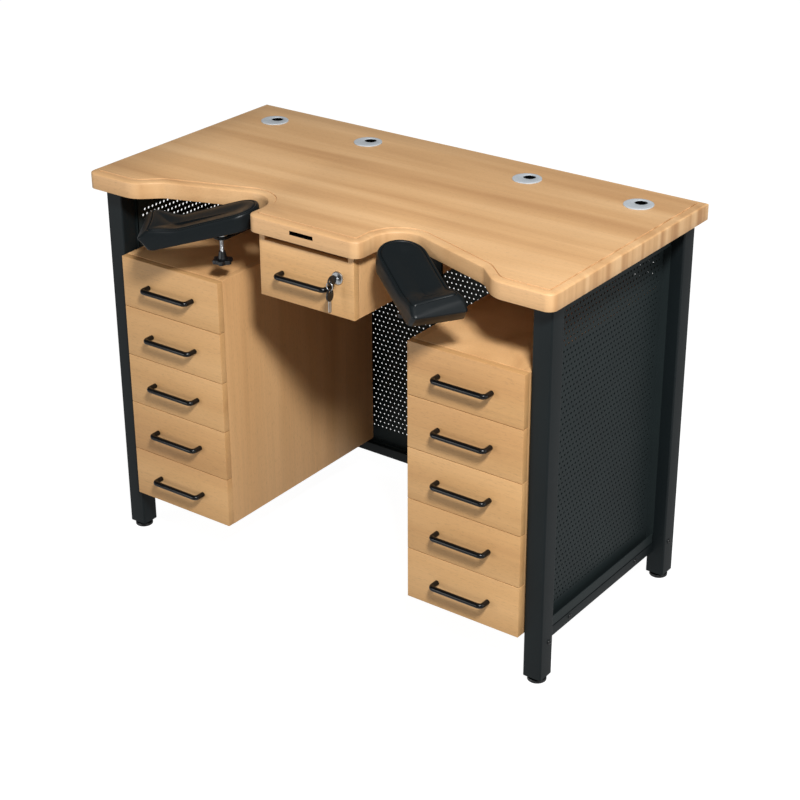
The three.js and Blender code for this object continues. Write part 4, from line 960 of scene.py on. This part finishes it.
def backdrop():
    """A white floor that reads as plain white and keeps only a soft shadow."""
    finish = Finish("studio_floor", grey(FLOOR_GREY), 1.0)
    cos, sin = arc(0, 360, 65)
    disc = np.stack([cos[:-1], sin[:-1], np.zeros(64)], -1) * FLOOR_RADIUS
    mesh = bpy.data.meshes.new("studio_floor")
    mesh.from_pydata(disc.tolist(), [], [list(range(64))])
    floor = bpy.data.objects.new("studio_floor", mesh)
    bpy.context.scene.collection.objects.link(floor)
    floor.location.z = -FLOOR_DROP
    mesh.materials.append(finish.material)
    finish.shader.inputs["Specular IOR Level"].default_value = 0.0
    finish.shader.inputs["Emission Color"].default_value = grey(1.0)
    rays = finish.add("ShaderNodeLightPath").outputs
    seen = finish.add("ShaderNodeMath", operation="MULTIPLY_ADD")
    finish.join(rays["Is Glossy Ray"], seen, 0)
    seen.inputs[1].default_value = FLOOR_GLOSS
    clear = finish.add("ShaderNodeMath", operation="MAXIMUM")
    finish.join(rays["Is Camera Ray"], clear, 0)
    finish.join(rays["Is Transmission Ray"], clear, 1)
    finish.join(finish.span(clear.outputs[0], 0.0, FLOOR_CLEAR), seen, 2)
    finish.join(seen.outputs[0], finish.shader, "Emission Strength")


def studio_world(ambient):
    """White to the camera, a dim even fill for everything else."""
    world = bpy.data.worlds.new("studio")
    world.use_nodes = True
    bpy.context.scene.world = world
    tree = world.node_tree
    ground = tree.nodes["Background"]
    ground.inputs["Color"].default_value = (1, 1, 1, 1)
    path = tree.nodes.new("ShaderNodeLightPath")
    spread = tree.nodes.new("ShaderNodeMapRange")
    spread.inputs["To Min"].default_value = ambient
    spread.inputs["To Max"].default_value = 1.0
    tree.links.new(path.outputs["Is Camera Ray"], spread.inputs["Value"])
    tree.links.new(spread.outputs["Result"], ground.inputs["Strength"])


def lamp(name, place, aim, size, power):
    """A square soft light that faces a point."""
    data = bpy.data.lights.new(name, "AREA")
    data.size, data.energy = size, power
    light = bpy.data.objects.new(name, data)
    bpy.context.scene.collection.objects.link(light)
    light.location = place
    light.rotation_euler = (Vector(aim) - Vector(place)).to_track_quat("-Z", "Y").to_euler()


def set_camera():
    """The photo's eye: position and turn solved from the bench's straight edges."""
    right = np.array([math.cos(EYE_AZIMUTH), math.sin(EYE_AZIMUTH), 0])
    away = np.array([math.sin(EYE_AZIMUTH), -math.cos(EYE_AZIMUTH), 0])
    back = math.cos(EYE_RISE) * away + [0, 0, math.sin(EYE_RISE)]
    up = np.cross(back, right)
    level_right = math.cos(EYE_ROLL) * right + math.sin(EYE_ROLL) * up
    level_up = math.cos(EYE_ROLL) * up - math.sin(EYE_ROLL) * right
    data = bpy.data.cameras.new("studio_camera")
    data.lens, data.sensor_width = LENS, SENSOR
    data.clip_end = 100
    eye = bpy.data.objects.new("studio_camera", data)
    bpy.context.scene.collection.objects.link(eye)
    turn = Matrix(np.column_stack([level_right, level_up, back]).tolist()).to_4x4()
    eye.matrix_world = Matrix.Translation(Vector(put(EYE).tolist())) @ turn
    bpy.context.scene.camera = eye


backdrop()
studio_world(0.13)
lamp("overhead_light", (0.25, -0.3, 3.6), (0.05, -0.1, 0.9), 1.4, 8)
lamp("key_light", (2.25, -2.25, 3.55), (0, 0, 0.5), 0.55, 205)
lamp("front_light", (-2.2, -4.2, 0.85), (0, 0, 0.5), 2.0, 60)
lamp("right_light", (4.2, -0.2, 1.6), (0, 0, 0.5), 2.2, 34)
set_camera()
bpy.context.scene.view_settings.view_transform = "Standard"
